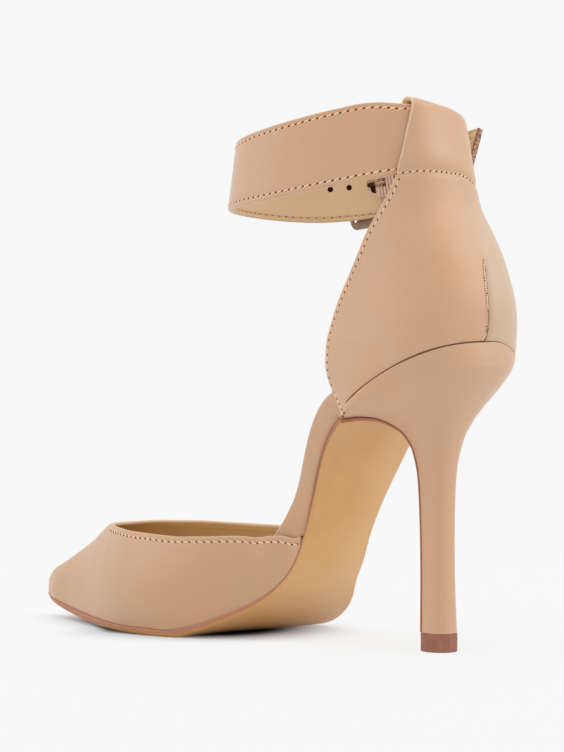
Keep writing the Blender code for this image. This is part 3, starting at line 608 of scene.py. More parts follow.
def heelRings(places, plan):
    # rings from the medial front round the back to the fuller lateral side, then across the breast
    row = Plan((name, heelRead(places, name)[:, None]) for name in heelRows)
    back = plan.roundShare * (1 - np.cos(quarterTurn(plan.backSteps + 1)))
    depth = joined(back, np.linspace(plan.roundShare, 1, plan.sideSteps + 1)[1:])
    forward = row.back + (row.front - row.back) * depth
    up = row.backUp + (row.frontUp - row.backUp) * depth ** row.dip
    half = heelHalfWidth(depth, row.half, row.frontHalf)
    fuller = heelHalfWidth(depth, row.half * lateralWider, row.frontHalf)
    sunk = up - lateralDip(forward) * fall(places, 0, plan.dipRows)[:, None]
    across = np.linspace(-1, 1, plan.frontSteps + 2)[1:-1]
    breast = shoe(row.front, row.frontHalf * across, row.frontUp)
    return joined(shoe(forward, half, up)[:, ::-1], shoe(forward, -fuller, sunk)[:, 1:], breast, axis=1)


def ringOutward(ring):
    # level direction away from a ring's inside
    along = np.roll(ring, -1, axis=0) - np.roll(ring, 1, axis=0)
    return unit(shoe(along[:, 1], -along[:, 0], 0.0))


def makeHeel(plan):
    # rings from the seat to the tip, under a quarter round at the seat's rim
    upper = np.linspace(plan.firstRow, plan.shaftRow, plan.upperSteps)
    rings = heelRings(joined(upper, np.linspace(plan.shaftRow, lowestRow, plan.lowerSteps)[1:]), plan)
    angles = quarterTurn(plan.rimSteps + 1)[:0:-1, None, None]
    inward = ringOutward(rings[0]) * (np.cos(angles) - 1)
    body = joined(rings[:1] + (inward + shoe(0, 0, 1) * np.sin(angles)) * plan.rimRadius, rings)
    # painted highlight: the rim is paler round the back, where it catches the light
    onRim = np.arange(len(body) + 2)[:, None] <= plan.rimSteps + 1
    atBack = fall(rings[0, :, 0], *plan.paleBefore) * fall(rings[0, :, 1], *plan.paleBeside)
    closedPiece(body, "heel_cover", "heel_leather", "heel_cover", "heel", tone=onRim * atBack)


makeHeel(heelPlan)

tipPlan = Plan(height=6.42, overhang=0.15, lowerRound=0.55, upperRound=0.2, flap=0.3, steps=5)


def makeHeelTip(plan):
    # the heel's lowest ring, reaching forward under the flap, with both edges rounded
    ring = heelRings(np.array([lowestRow]), heelPlan)[0]
    back, front = heelRows.back[-1], heelRows.front[-1]
    ring[:, 0] = back + (ring[:, 0] - back) * (front + plan.flap - back) / (front - back)
    angles = quarterTurn(plan.steps)
    inset = joined(plan.lowerRound * (1 - np.sin(angles)), plan.upperRound * (1 - np.cos(angles)))
    ups = joined(plan.lowerRound * (1 - np.cos(angles)), plan.height - plan.upperRound * (1 - np.sin(angles)))
    outward = ringOutward(ring) * (plan.overhang - inset[:, None, None])
    rings = ring * (1, 1, 0) + outward + shoe(0, 0, ups)[:, None]
    closedPiece(rings, "heel_tip_cover", "tip_rubber", "tip_rubber", "heel_tip")


makeHeelTip(tipPlan)

# stretches along the sole are pairs: where each begins, and where it ends
solePlan = Plan(
    stations=230, breastSteps=110, bottomSteps=25, edgeSteps=7, welt=0.6, weltFrom=76, weltOver=20,
    weltEnd=(192, 209), flap=0.85, flapTop=1.9, flapFade=(1, 4.5), bevel=1.0, slimmest=0.3, edgeShare=0.56,
    waistShare=0.34, foreShare=0.5, crown=1.1, tread=((114.5, 120.5), (146.5, 152.5)),
    waist=((50, 66), (104, 121)), slim=((54, 62), (76, 96)), fore=(112, 150), bare=(108, 126), toe=(146, 170),
    paintTurn=0.5, toeTurn=1.1,
)


def makeOutsole(plan):
    # profile from the toe up the waist and down the heel breast, with one section carried along it
    forward = toeStations(soleRows.forward[0], toeForward, plan.stations)[:0:-1]
    welt = plan.welt * np.clip((forward - plan.weltFrom) / plan.weltOver, 0, 1) * fall(forward, *plan.weltEnd)
    places = np.linspace(1, lowestRow, plan.breastSteps)
    front, frontUp, frontHalf = [heelRead(places, name) for name in ("front", "frontUp", "frontHalf")]
    path = np.stack([joined(forward, front), joined(soleUp(forward), frontUp)], axis=-1)
    medial = joined(soleEdge(forward, "medial") + welt, frontHalf)[:, None]
    lateral = joined(soleEdge(forward, "lateral") - welt, -frontHalf)[:, None]
    lift = joined(read(soleRows, forward, "lift"), np.zeros(len(front)))[:, None]
    flap = plan.flap + (plan.flapTop - plan.flap) * fall(places, *plan.flapFade)
    thick = joined(read(soleThickness, forward, "thick"), flap)[:, None]
    downward = turnedPath(path, 2)
    row = np.arange(len(path))[:, None] - len(forward)
    path = path + downward * gap * rise(row, -3, 3)
    at, up = path[:, :1], path[:, 1:]
    onTread, waist, slim = [rise(at, *start) * fall(at, *end) * (row < 0)
                            for start, end in (plan.tread, plan.waist, plan.slim)]
    edgeShare = plan.edgeShare + (plan.waistShare - plan.edgeShare) * slim
    edgeShare = edgeShare + (plan.foreShare - plan.edgeShare) * rise(at, *plan.fore)
    # section: shares of the bevel inwards and of the thickness down, from an edge to the middle
    turns = quarterTurn(plan.edgeSteps)[1:]
    across = np.linspace(0, 1, plan.bottomSteps)[1:-1]
    sideIn = joined((0.1, 0, -0.04, 0), 1 - np.cos(turns))
    sideDepth = joined(edgeShare * (0, 0.1, 0.6, 1), edgeShare + (1 - edgeShare) * np.sin(turns), axis=1)
    # the paint ends high along the tread, and covers the whole edge round the toe
    toe = rise(at, *plan.toe)
    painted = 1 - rise(at, *plan.bare) * (1 - toe)
    fading = np.clip(1 - turns / (plan.paintTurn + plan.toeTurn * toe), 0, 1) * painted
    paint = mirrored(joined(np.ones((len(path), 3)), painted, fading, axis=1), across * 0)
    share, inward = sectionShares(sideIn, across)
    depth = mirrored(sideDepth, np.ones(len(across)))
    bow = mirrored(sideIn * 0, 4 * across * (1 - across))
    bevel = np.minimum(plan.bevel, plan.slimmest * (medial - lateral))
    side = lateral + (medial - lateral) * share + bevel * inward
    drop = thick * depth + plan.crown * waist * bow
    level = up + lift * side
    ringUp = level + downward[:, 1:] * drop
    ringUp = np.maximum(ringUp + (level * (1 - depth) - ringUp) * onTread, 0)
    rings = shoe(at + downward[:, :1] * drop, side, ringUp)
    paint = joined(paint[:1], paint, paint[-1:])
    closedPiece(rings, "sole_leather", "tan_sole", "sole_leather", "outsole", tone=paint)


makeOutsole(solePlan)

insoleRows = table("forward thick inset lateralInset", [
    (-1, 6.4, 1.9, 1.9), (30, 7.4, 1.9, 1.9), (46.7, 8.6, 1.9, 1.9), (49, 10, 1.7, 2.1),
    (53.5, 10, 0.6, 1.9), (58, 9, 0.2, 1.8), (67.5, 9, 0.4, 1.1), (70, 11, 1.2, 1.5),
    (72, 12.8, 2.1, 2.1), (75.5, 15, 2.5, 2.5), (82, 12.6, 2.5, 2.5), (92, 7.4, 2.5, 2.5),
    (110, 4, 2.7, 2.7), (130, 3.2, 2.7, 2.7), (213, 3, 2.7, 2.7),
])
insolePlan = Plan(
    back=0.4, shank=49.2, toe=208.0, lifted=0.6, corner=1.7, thinnest=0.4, slimmest=0.3, swell=0.15,
    footIn=(0.5, 0.15), footUp=(0, 0.05), seatSteps=90, crowding=1.6, shankSteps=230, cornerSteps=8,
    acrossSteps=21, sideSteps=9,
)


def makeInsole(plan):
    # a padded strip on the seat and sole: flat below, upright sides, round upper corners
    seatLong = seatPlan.front - plan.back
    seat = plan.back + seatLong * np.linspace(0, 1, plan.seatSteps) ** plan.crowding
    shank = toeStations(plan.shank, plan.toe, plan.shankSteps)
    forward = joined(seat, shank)
    onSeat = np.arange(len(forward)) < len(seat)
    up = joined(seatUp(seat), soleUp(shank))
    normals = turnedPath(np.stack([forward, up], axis=-1), 4)
    thick = read(insoleRows, forward, "thick")[:, None]
    lift = np.where(onSeat, 0.0, read(soleRows, forward, "lift"))[:, None]
    fraction = np.clip((forward - plan.back) / seatLong, 0, 1)
    start = insoleRows.inset[0]
    half, fuller = [heelHalfWidth(fraction, heelRows.half[0] * wider - start, heelRows.frontHalf[0] - start)
                    for wider in (1.0, lateralWider)]
    medial = soleEdge(forward, "medial") - read(insoleRows, forward, "inset")
    medial = np.where(onSeat, half, medial)[:, None]
    lateral = soleEdge(forward, "lateral") + read(insoleRows, forward, "lateralInset")
    lateral = np.where(onSeat, -fuller, lateral)[:, None]
    turns = quarterTurn(plan.cornerSteps)
    across = np.linspace(0, 1, plan.acrossSteps)[1:-1]
    level = np.linspace(0, 1, plan.sideSteps)[1:-1]
    # side from bottom to top: shares of the corner radius inwards, of the thickness and the radius upwards
    sideIn = joined(plan.footIn, -plan.swell * np.sin(np.pi * level), 1 - np.cos(turns))
    share, inward = sectionShares(sideIn, across)
    byThick = mirrored(joined(plan.footUp, level, np.ones(len(turns))), np.ones(len(across)))
    byRadius = mirrored(joined((0, 0), -level, np.sin(turns) - 1), across * 0)
    sock = mirrored(sideIn * 0, np.ones(len(across)))
    wide = medial - lateral
    corner = np.minimum(np.minimum(plan.corner, plan.thinnest * thick), plan.slimmest * wide)
    side = lateral + wide * share + corner * inward
    high = plan.lifted + thick * byThick + corner * byRadius
    ringUp = up[:, None] + normals[:, 1:] * high + lift * side
    rings = shoe(forward[:, None] + normals[:, :1] * high, side, ringUp)
    closedPiece(rings, "insole_cover", "vamp_leather beige_lining", "insole_cover", "insole", sock)


makeInsole(insolePlan)

# rows beside the throat: where each edge runs, the angle at which its arch is cut, its swell
vampRows = table("forward medial medialUp lateral lateralUp cut swell", [
    (72, 13.8, 37.7, -18.8, 35.4, 14, 0), (82, 14.2, 36.4, -22.8, 34.2, 15, 0.2),
    (94, 16.4, 35.6, -27.4, 34.2, 18, 0.8), (113, 23.6, 35.3, -29.6, 35, 24, 1.6),
    (134, 26.6, 35.3, -25.6, 36.5, 32, 1.8), (150, 23.6, 35.6, -20.2, 36.9, 40, 1.4),
    (162, 17.8, 36, -13.2, 37, 52, 1), (171, 11.2, 36.3, -5.6, 36.9, 70, 0.6),
    (175, 7.4, 36.4, -1, 36.6, 80, 0.5), (177, 3.4, 36.4, 3.4, 36.4, 90, 0.4),
])
ridgeRows = table("forward side up cut swell", [
    (177, 3.4, 36.4, 90, 0.4), (184, 3.4, 31.2, 90, 0.3), (193, 3.3, 26, 90, 0.2), (203, 3.2, 20.6, 90, 0.1),
    (210.5, 3.1, 16.4, 90, 0), (213, 3, 13.4, 90, 0),
])
vampPlan = Plan(
    wall=1.6, rear=73.2, front=177.0, lifted=0.1, throatSteps=130, crowding=0.97, toeSteps=56, split=0.78,
    lowRows=40, highRows=26, toeTilt=0.15, thinOver=8, thinnest=0.04, seamFront=167.5, seamIn=1.5,
    seamDepth=0.14, seamSpread=0.55, seamFade=(163, 171), rimSteps=8, rimFrom=2, rimTo=6, easeStep=0.5,
    easeSteps=7, easeOver=8.0,
)


def throatRead(forward, name):
    # reads beside the throat over the root of the distance to its front, so that the front is round
    front = vampPlan.front
    rows = -np.sqrt(front - vampRows.forward)
    return smooth(-np.sqrt(np.maximum(front - forward, 0)), rows, vampRows[name])


def eased(forward, values):
    # running mean over a few millimetres where the throat ends
    plan = vampPlan
    even = np.arange(plan.rear, toeForward, plan.easeStep)
    mean = spreadOut(np.interp(even, forward, values), plan.easeSteps)
    return values + (np.interp(forward, even, mean) - values) * hump(forward, plan.front, plan.easeOver)


def vampBase(at, sideName):
    # where a side stands: on the sole's edge, lifted square to its slope
    edge = soleEdge(at, sideName)
    steep = (soleUp(at + 0.1) - soleUp(at - 0.1)) / 0.2
    return edge, soleUp(at, edge) + vampPlan.lifted * np.sqrt(1 + steep ** 2)


def vampWall(forward, sideName, fractions):
    # one side of the vamp: a smooth arch, a quarter of an ellipse from the sole's edge to the ridge,
    # which the throat cuts at an angle; the rows give the arch's reach and height from where it is cut
    names = {"forward": "forward", sideName: "side", sideName + "Up": "up", "cut": "cut", "swell": "swell"}
    rows, edgeSide, edgeUp, cut, swell = [joined(vampRows[throat][:-1], ridgeRows[ridge])
                                          for throat, ridge in names.items()]
    cut = np.radians(cut)
    rowSide, rowUp = vampBase(rows, sideName)
    reach = smooth(forward, rows, (edgeSide - rowSide) / (1 - np.cos(cut)))
    height = smooth(forward, rows, (edgeUp - rowUp) / np.sin(cut))
    swell = smooth(forward, rows, swell) * np.sign(-reach)
    baseSide, baseUp = vampBase(forward, sideName)
    # ahead of the throat both sides end on the ridge itself, so that the toe is closed
    closed = forward >= vampPlan.front
    reach = np.where(closed, read(ridgeRows, forward, "side") - baseSide, reach)
    height = np.where(closed, read(ridgeRows, forward, "up") - baseUp, height)
    # eased below the edge, so that the throat's edge and the ridge stay in their places
    below = 1 - fractions ** 3
    reach, height = [raw[:, None] + (eased(forward, raw) - raw)[:, None] * below for raw in (reach, height)]
    angle = np.radians(np.minimum(throatRead(forward, "cut"), 90))[:, None] * fractions
    level = np.clip(np.sin(angle) / np.sin(smooth(forward, rows, cut))[:, None], 0, 1)
    side = baseSide[:, None] + reach * (1 - np.cos(angle)) + swell[:, None] * np.sin(np.pi * level)
    return shoe(forward[:, None], side, baseUp[:, None] + height * np.sin(angle))


def makeVamp(plan):
    # both sides with their linings, closed along the sole and at the rear, and a round rim along the throat
    back = np.linspace(1, 0, plan.throatSteps)
    back = (1 - plan.crowding) * back + plan.crowding * back ** 2
    throat = plan.front - (plan.front - plan.rear) * back
    toe = plan.front + (toeForward - plan.front) * np.sin(quarterTurn(plan.toeSteps))
    stations = joined(throat, toe[1:])
    last = len(throat) - 1
    low = np.linspace(0, plan.split, plan.lowRows)
    fractions = joined(low, np.linspace(plan.split, 1, plan.highRows)[1:])
    walls = [vampWall(stations, name, fractions) for name in ("medial", "lateral")]
    normals = [gridNormals(walls[0]) * -1, gridNormals(walls[1])]
    ridge = unit(normals[0][last:, -1] + normals[1][last:, -1])
    for normal in normals:
        normal[last:, -1] = ridge
        normal[-1] = unit(shoe(1.0, 0.0, plan.toeTilt * fractions))
    thin = np.clip((toeForward - stations) / plan.thinOver + plan.thinnest, 0, 1) * plan.wall
    fade = fall(stations, *plan.seamFade)[:, None] * plan.seamDepth
    sheets = Sheets()
    for index, normal in enumerate(normals):
        reach = np.linalg.norm(np.diff(walls[index], axis=1), axis=2)
        below = joined(np.cumsum(reach[:, ::-1], axis=1)[:, ::-1], np.zeros((len(stations), 1)), axis=1)
        groove = hump(below, plan.seamIn, plan.seamSpread) * fade
        walls[index] = walls[index] - normal * groove[..., None]
        wall = walls[index]
        inner = wall - normal * thin[:, None, None]
        sheets.add(wall, 0)
        sheets.add(inner, 1)
        sheets.add(np.stack([wall[:, 0], inner[:, 0]], axis=1), 1)
        sheets.add(np.stack([wall[0], inner[0]], axis=1), 0)
    edge, outward = [joined(lateral[:last + 1, -1], medial[:last, -1][::-1])
                     for medial, lateral in (walls, normals)]
    thick = joined(thin[:last + 1], thin[:last][::-1])
    away = unit(np.cross(outward, np.gradient(edge, axis=0)))
    # the rim's middle steps take the painted edge highlight
    step = np.arange(plan.rimSteps)
    finish = np.where(step >= plan.rimTo, 1, np.where(step >= plan.rimFrom, 2, 0))
    sheets.add(rimStrip(edge, outward, away, thick, plan.rimSteps), finish)
    piece = sheets.piece("vamp_leather", "vamp_leather beige_lining turned_edge", "upper_leather", "vamp")
    return piece, edge, outward, away


vamp, throatEdge, throatOut, throatAway = makeVamp(vampPlan)

# heel quarter by height: rear point, half width, depth of the round back, front edge, skew, taper
quarterRows = table("up back half round front skew taper", [
    (82, -1.8, 26.4, 26, 47.6, 0, 0.0098), (86, -1.8, 26.4, 26, 51.6, 0, 0.0098),
    (90, -1.8, 26.4, 26, 53.2, 0, 0.008), (96, -1.8, 26.4, 26, 54.3, 0, 0.006),
    (102, -1.8, 26.4, 26, 54.4, 0, 0.006), (106, -1.8, 26.4, 26, 53.7, 0, 0.006),
    (112, -2.4, 26, 26, 51.5, 0, 0.006), (120, -2, 25.2, 26, 47.5, 0, 0.006),
    (128, 0, 24.2, 25.5, 42.4, 0, 0.006), (137, 3.3, 23.3, 24.5, 37.4, 0.01, 0.006),
    (144, 7.2, 22.6, 23, 33.8, 0.02, 0.006), (150, 10.7, 21.8, 21, 30.2, 0.04, 0.006),
    (157, 12.7, 20.9, 19, 26.4, 0.06, 0.006), (164, 13.9, 20.2, 17, 24, 0.08, 0.006),
    (170, 15, 19.7, 15.5, 23, 0.1, 0.006), (176, 16.2, 19.3, 14, 22.2, 0.11, 0.006),
    (184, 18, 18.9, 12.5, 21.5, 0.12, 0.006), (191, 19.2, 18.6, 11.5, 21.4, 0.12, 0.006),
])
# the tunnel's seam, by share of the way round, and the dart's line up the back
seamRows = table("around up", [
    (-1, 157), (-0.69, 158.1), (-0.5, 159.1), (-0.3, 160.9), (-0.1, 162.7), (0.045, 163.3), (0.35, 163.9),
    (0.62, 163.9), (1, 163),
])
dartRows = table("up side", [
    (104.5, 3.2), (107.5, 1.9), (110, 1.25), (116, 0.9), (125, 0.4), (130.5, -0.7), (136, -2),
])
quarterPlan = Plan(
    wall=1.4, foot=47.0, topBack=186.7, topTilt=3.4, topCrown=1.0, fold=0.972, tunnelGap=0.5, tongue=3.4,
    tongueFrom=0.92, rounds=12, columns=301, crowding=1.6, footTop=0.03, footRows=12, darkRows=2,
    darkFrom=0.02, rows=112, foldSteps=12, flapRows=22, flapDrop=26.2, flapSeam=4.5, flapSteps=4,
    rollAhead=1.6, rollFrom=0.7, rollTurn=(0.2, 2.4), rollBack=1.5, rollDrop=(2, 14), rimSteps=8, rimPale=6,
    seamDepth=0.55, seamSpread=1.2, seamBulge=0.5, bulgeAround=(-0.3, 0.15), bulgeUp=5.2, bulgeSpread=4.0,
    dartDepth=0.75, dartLip=0.28, dartRoll=1.8, dartFade=(133, 137), dartAhead=16, turnIn=0.7,
    turnSpread=1.0, paleFade=(6, 24), paleEdge=0.25, paleSoft=8.0, paleSoften=(133, 146), paleTop=(140, 168),
)
strapThickness = 2.2
foldRadius = quarterPlan.wall + quarterPlan.tunnelGap + strapThickness / 2


def quarterSurface(around, height):
    # outer side of the quarter: around runs from -1 (lateral edge) to 1, height from 0 to 1;
    # forward and up depend on each other, so they are found together in a few rounds
    plan = quarterPlan
    around, height = np.broadcast_arrays(around, height)
    forward = plan.foot * around ** 2
    tongue = plan.tongue * rise(np.abs(around), plan.tongueFrom, 1.0)
    top = plan.topBack + plan.topTilt * around - plan.topCrown * around ** 2
    for _ in range(plan.rounds):
        dip = np.where(around < 0, lateralDip(forward), 0.0)
        low = seatUp(np.minimum(forward, plan.foot)) + gap - dip - tongue
        up = low + (top - low) * height
        row = Plan((name, read(quarterRows, up, name)) for name in quarterRows)
        depth = (row.front - row.back) * around ** 2
        forward = row.back + depth
    wide = row.half * np.where(around < 0, lateralWider, 1.0) * blunt(depth / row.round)
    side = np.sign(around) * (wide - row.taper * np.clip(depth - row.round, 0, None) ** 2)
    return shoe(forward - row.skew * side, side, up)


def surfaceFrame(around, height):
    # point of the quarter's outer side, with its outward, upward and sideways directions
    step = 0.01
    along = quarterSurface(around + step, height) - quarterSurface(around - step, height)
    upward = unit(quarterSurface(around, height + step) - quarterSurface(around, height - step))
    return quarterSurface(around, height), unit(np.cross(upward, along)), upward, unit(along)


def makeQuarter(plan):
    # wall up to the fold, half a turn of fold over the strap, then the flap down to its seam
    spread = np.linspace(-1, 1, plan.columns)
    around = np.sign(spread) * np.abs(spread) ** plan.crowding
    foot = np.linspace(0, plan.footTop, plan.footRows)
    heights = joined(foot, np.linspace(plan.footTop, plan.fold, plan.rows)[1:])[:, None]
    wall = quarterSurface(around, heights)
    normals = gridNormals(wall)
    ahead, side, up = np.moveaxis(wall, -1, 0)
    above = up - read(seamRows, around, "up")
    swollen = plan.seamBulge * rise(around, *plan.bulgeAround) * hump(above, plan.bulgeUp, plan.bulgeSpread)
    groove = plan.seamDepth * hump(above, 0, plan.seamSpread) - swollen
    groove = groove + plan.turnIn * np.exp((up[:1] - up) / plan.turnSpread)
    # the dart's lateral side rolls in wide, its medial side ends in a sharp lip
    beside = side - read(dartRows, up, "side")
    dart = hump(beside, 0, np.where(beside < 0, plan.dartRoll, plan.dartLip))
    dart = dart * fall(up, *plan.dartFade) * (ahead < plan.dartAhead)
    # painted sheen: the leather is paler on the dart's lateral side, which turns to the light: sharply beside
    # the dart, softly above it
    soft = plan.paleEdge + plan.paleSoft * rise(up, *plan.paleSoften)
    pale = rise(-beside, -soft, soft) * fall(ahead - ahead.min(axis=1, keepdims=True), *plan.paleFade)
    pale = pale * fall(up, *plan.paleTop)
    wall = wall - normals * (groove + plan.dartDepth * dart)[..., None]
    point, outward, upward, along = surfaceFrame(around, np.full_like(around, plan.fold))
    roll = np.sign(around) * rise(np.abs(around), plan.rollFrom, 1.0) * plan.rollAhead
    angles = np.linspace(0, np.pi, plan.foldSteps + 1)[1:, None, None]
    turned = upward * np.sin(angles) - outward * (1 - np.cos(angles))
    fold = point + turned * foldRadius + along * roll[:, None] * rise(angles, *plan.rollTurn)
    # the flap runs down inside the wall and closes on it at the seam
    drops = np.linspace(0, plan.flapDrop, plan.flapRows + 1)[1:, None]
    tall = (quarterSurface(around, 1.0) - quarterSurface(around, 0.0))[:, 2]
    point, outward, _, along = surfaceFrame(around, plan.fold - drops / tall)
    inward = 2 * foldRadius - strapThickness * rise(drops, plan.flapDrop - plan.flapSeam, plan.flapDrop)
    roll = roll * (1 - plan.rollBack * rise(drops, *plan.rollDrop))
    outer = joined(wall, fold, point - outward * inward[..., None] + along * roll[..., None])
    normals = gridNormals(outer)
    inner = outer - normals * plan.wall
    sheets = Sheets()
    # painted shade: the lowest rows, turned in to the seat, are dark
    deep = 1 + (plan.darkRows - 1) * (around[1:] > plan.darkFrom)
    tone = joined(pale, np.zeros((len(outer) - len(pale), len(around))))
    sheets.add(outer, np.where(np.arange(len(outer) - 1)[:, None] < deep, 2, 0), tone=tone)
    sheets.add(inner, 1)
    sheets.add(np.stack([outer[0], inner[0]], axis=1), 1)
    flapEnd = unit(np.cross(normals[-1], np.gradient(outer[-1], axis=0))) * -1
    sheets.add(rimStrip(outer[-1], normals[-1], flapEnd, plan.wall, plan.flapSteps), 0)
    edges = []
    # the rims' outer steps take the painted edge highlight
    finish = np.where(np.arange(plan.rimSteps) < plan.rimPale, 3, 1)
    for column, sign in ((0, -1), (-1, 1)):
        edge, normal = outer[:, column], normals[:, column]
        away = unit(np.cross(normal, np.gradient(edge, axis=0))) * sign
        sheets.add(rimStrip(edge, normal, away, plan.wall, plan.rimSteps), finish)
        edges.append((edge, normal, away, read(seamRows, sign, "up")))
    looks = "nude_leather beige_lining seam_shade turned_edge"
    return sheets.piece("quarter_leather", looks, "upper_leather", "quarter"), edges


quarter, quarterEdges = makeQuarter(quarterPlan)

# strap from its buckle end through the tunnel, round the ankle and over to its tail
shortEnd = table("forward side up lean width", [
    (70.6, -34.2, 160.6, 0.06, 24), (57, -33.2, 162.6, 0.08, 24), (45, -29.4, 164.8, 0.1, 24),
    (34.5, -23.6, 166.2, 0.13, 23.6),
])
longEnd = table("forward side up lean width", [
    (31.5, 21.8, 174.4, 0.13, 25.8), (43, 27.2, 172.2, 0.1, 25.8), (58, 31.6, 169.1, 0.08, 25.3),
    (74, 32.2, 166.1, 0.08, 24.6), (88, 28.4, 163.8, 0.1, 23.7), (98, 20.8, 162.4, 0.13, 23.2),
    (105, 10, 160.9, 0.16, 23.2), (107.4, -3, 159.7, 0.17, 23.4), (105, -15, 158.8, 0.16, 23.8),
    (99.5, -25.4, 158.6, 0.12, 24), (93, -31.4, 159.2, 0.08, 24), (86, -35.2, 160, 0.06, 24),
    (78, -38.2, 160.9, 0.06, 24), (68, -39.6, 162.2, 0.06, 24), (52, -39.4, 165, -0.16, 23.8),
    (38.3, -37.9, 171.1, -0.6, 23.6),
])
strapPlan = Plan(
    step=0.7, tunnelSteps=13, tunnelReach=0.98, tunnelMiddle=0.84, tunnelRise=0.015, tunnelWidth=23.6,
    axis=(58, -2), corner=0.5, cornerSteps=5, middleShare=0.25, seamIn=1.75, seamPinch=0.16, seamSpread=0.6,
    edgePinch=0.1, edgeSpread=0.9, endRound=0.35, endSteps=4, prongForward=84.6, holeRadius=1.0, holeWeb=0.15,
    holeFirst=8.1, holeSpacing=6.8, spareHoles=2, slotRadius=0.9, pocket=(-1.9, -1.6), pocketRadius=1.5,
    pocketDepth=0.9, cutterSides=24,
)


def strapPath(step):
    # smooth curve through the route's points, with its upward and outward directions and widths
    plan = strapPlan
    around = np.linspace(-plan.tunnelReach, plan.tunnelReach, plan.tunnelSteps)
    height = plan.tunnelMiddle + plan.tunnelRise * np.maximum(around, 0)
    point, outward, upward, _ = surfaceFrame(around, height)
    starts, ends = [shoe(end.forward, end.side, end.up) for end in (shortEnd, longEnd)]
    leans = []
    for end, points in ((shortEnd, starts), (longEnd, ends)):
        inward = unit(np.array(plan.axis) - points[:, :2]) * end.lean[:, None]
        leans.append(unit(joined(inward, np.ones((len(points), 1)), axis=1)))
    points = joined(starts, point - outward * foldRadius, ends)
    directions = joined(leans[0], upward, leans[1])
    widths = joined(shortEnd.width, np.full(len(around), plan.tunnelWidth), longEnd.width)
    lengths = distances(points)
    at = np.linspace(0, lengths[-1], int(lengths[-1] / step) + 1)
    path, upward = [np.stack([smooth(at, lengths, column) for column in values.T], axis=-1)
                    for values in (points, directions)]
    along = unit(np.gradient(path, axis=0))
    upward = unit(upward)
    upward = unit(upward - along * np.sum(upward * along, axis=1, keepdims=True))
    return at, path, upward, np.cross(upward, along), smooth(at, lengths, widths)


def prongPlace():
    # where the strap's long end crosses the prong
    at, path, upward, outward, _ = strapPath(1.0)
    lateral = (path[:, 1] < strapPlan.axis[1]) & (at > at[-1] / 2)
    index = np.argmin(np.where(lateral, np.abs(path[:, 0] - strapPlan.prongForward), np.inf))
    return at, path, upward, outward, index


bucklePlan = Plan(
    height=30.4, length=19.0, bar=2.2, flat=1.5, corner=2.0, cornerSteps=10, barSides=28, squareness=3.4,
    turn=-0.03, tilt=-0.13, out=-1.3, rearBar=-6.8, prongRadius=0.75, prongSides=20, prongClear=0.35,
    prongRise=0.1, hook=185.0, hookSteps=28, tongueSteps=34, overrun=1.6, thinning=0.18, thinOver=(-9, -1),
    tipRound=0.8, tipLeast=0.02,
)


def buckleAxes():
    # middle of the buckle, then its directions: along the strap, up and outwards
    _, path, upward, _, index = prongPlace()
    along = unit(np.array((1.0, bucklePlan.turn, bucklePlan.tilt)))
    up = unit(upward[index] - along * np.dot(upward[index], along))
    return path[index], along, up, np.cross(along, up)


def bucklePoint(offsets):
    # offsets along the buckle's directions, from its middle
    centre, *axes = buckleAxes()
    return centre + offsets @ np.array(axes)


def prongRoute(plan):
    # hooked round the rear bar, then straight through the strap and over the front bar
    reach = plan.bar / 2 + gap + plan.prongRadius
    angles = np.radians(np.linspace(-plan.hook, 0, plan.hookSteps))
    hook = shoe(plan.rearBar + reach * np.cos(angles), 0.0, plan.out + reach * np.sin(angles))
    tip = shoe(plan.rearBar + plan.length - plan.bar + plan.overrun, 0.0, plan.out + reach + plan.prongRise)
    along = np.linspace(0, 1, plan.tongueSteps + 1)[1:, None]
    return joined(hook, hook[-1] + (tip - hook[-1]) * along)


def cylinderRings(start, end, radius):
    # the two end rings of a cylinder
    along = unit(end - start)
    across = unit(np.cross(along, (0.0, 0.0, 1.0)))
    angles = ringAngles(strapPlan.cutterSides)[:, None]
    ring = (across * np.cos(angles) + np.cross(along, across) * np.sin(angles)) * radius
    return np.stack([start + ring, end + ring])


def cutOut(piece, cutters):
    # takes the cutters' shapes out of a piece and leaves the result as its mesh
    for cutter in cutters:
        boolean = piece.modifiers.new(cutter.name, "BOOLEAN")
        boolean.operation = "DIFFERENCE"
        boolean.solver = "EXACT"
        boolean.material_mode = "TRANSFER"
        boolean.object = cutter
    graph = bpy.context.evaluated_depsgraph_get()
    mesh = bpy.data.meshes.new_from_object(piece.evaluated_get(graph))
    piece.modifiers.clear()
    piece.data = mesh
    for cutter in cutters:
        bpy.data.objects.remove(cutter)


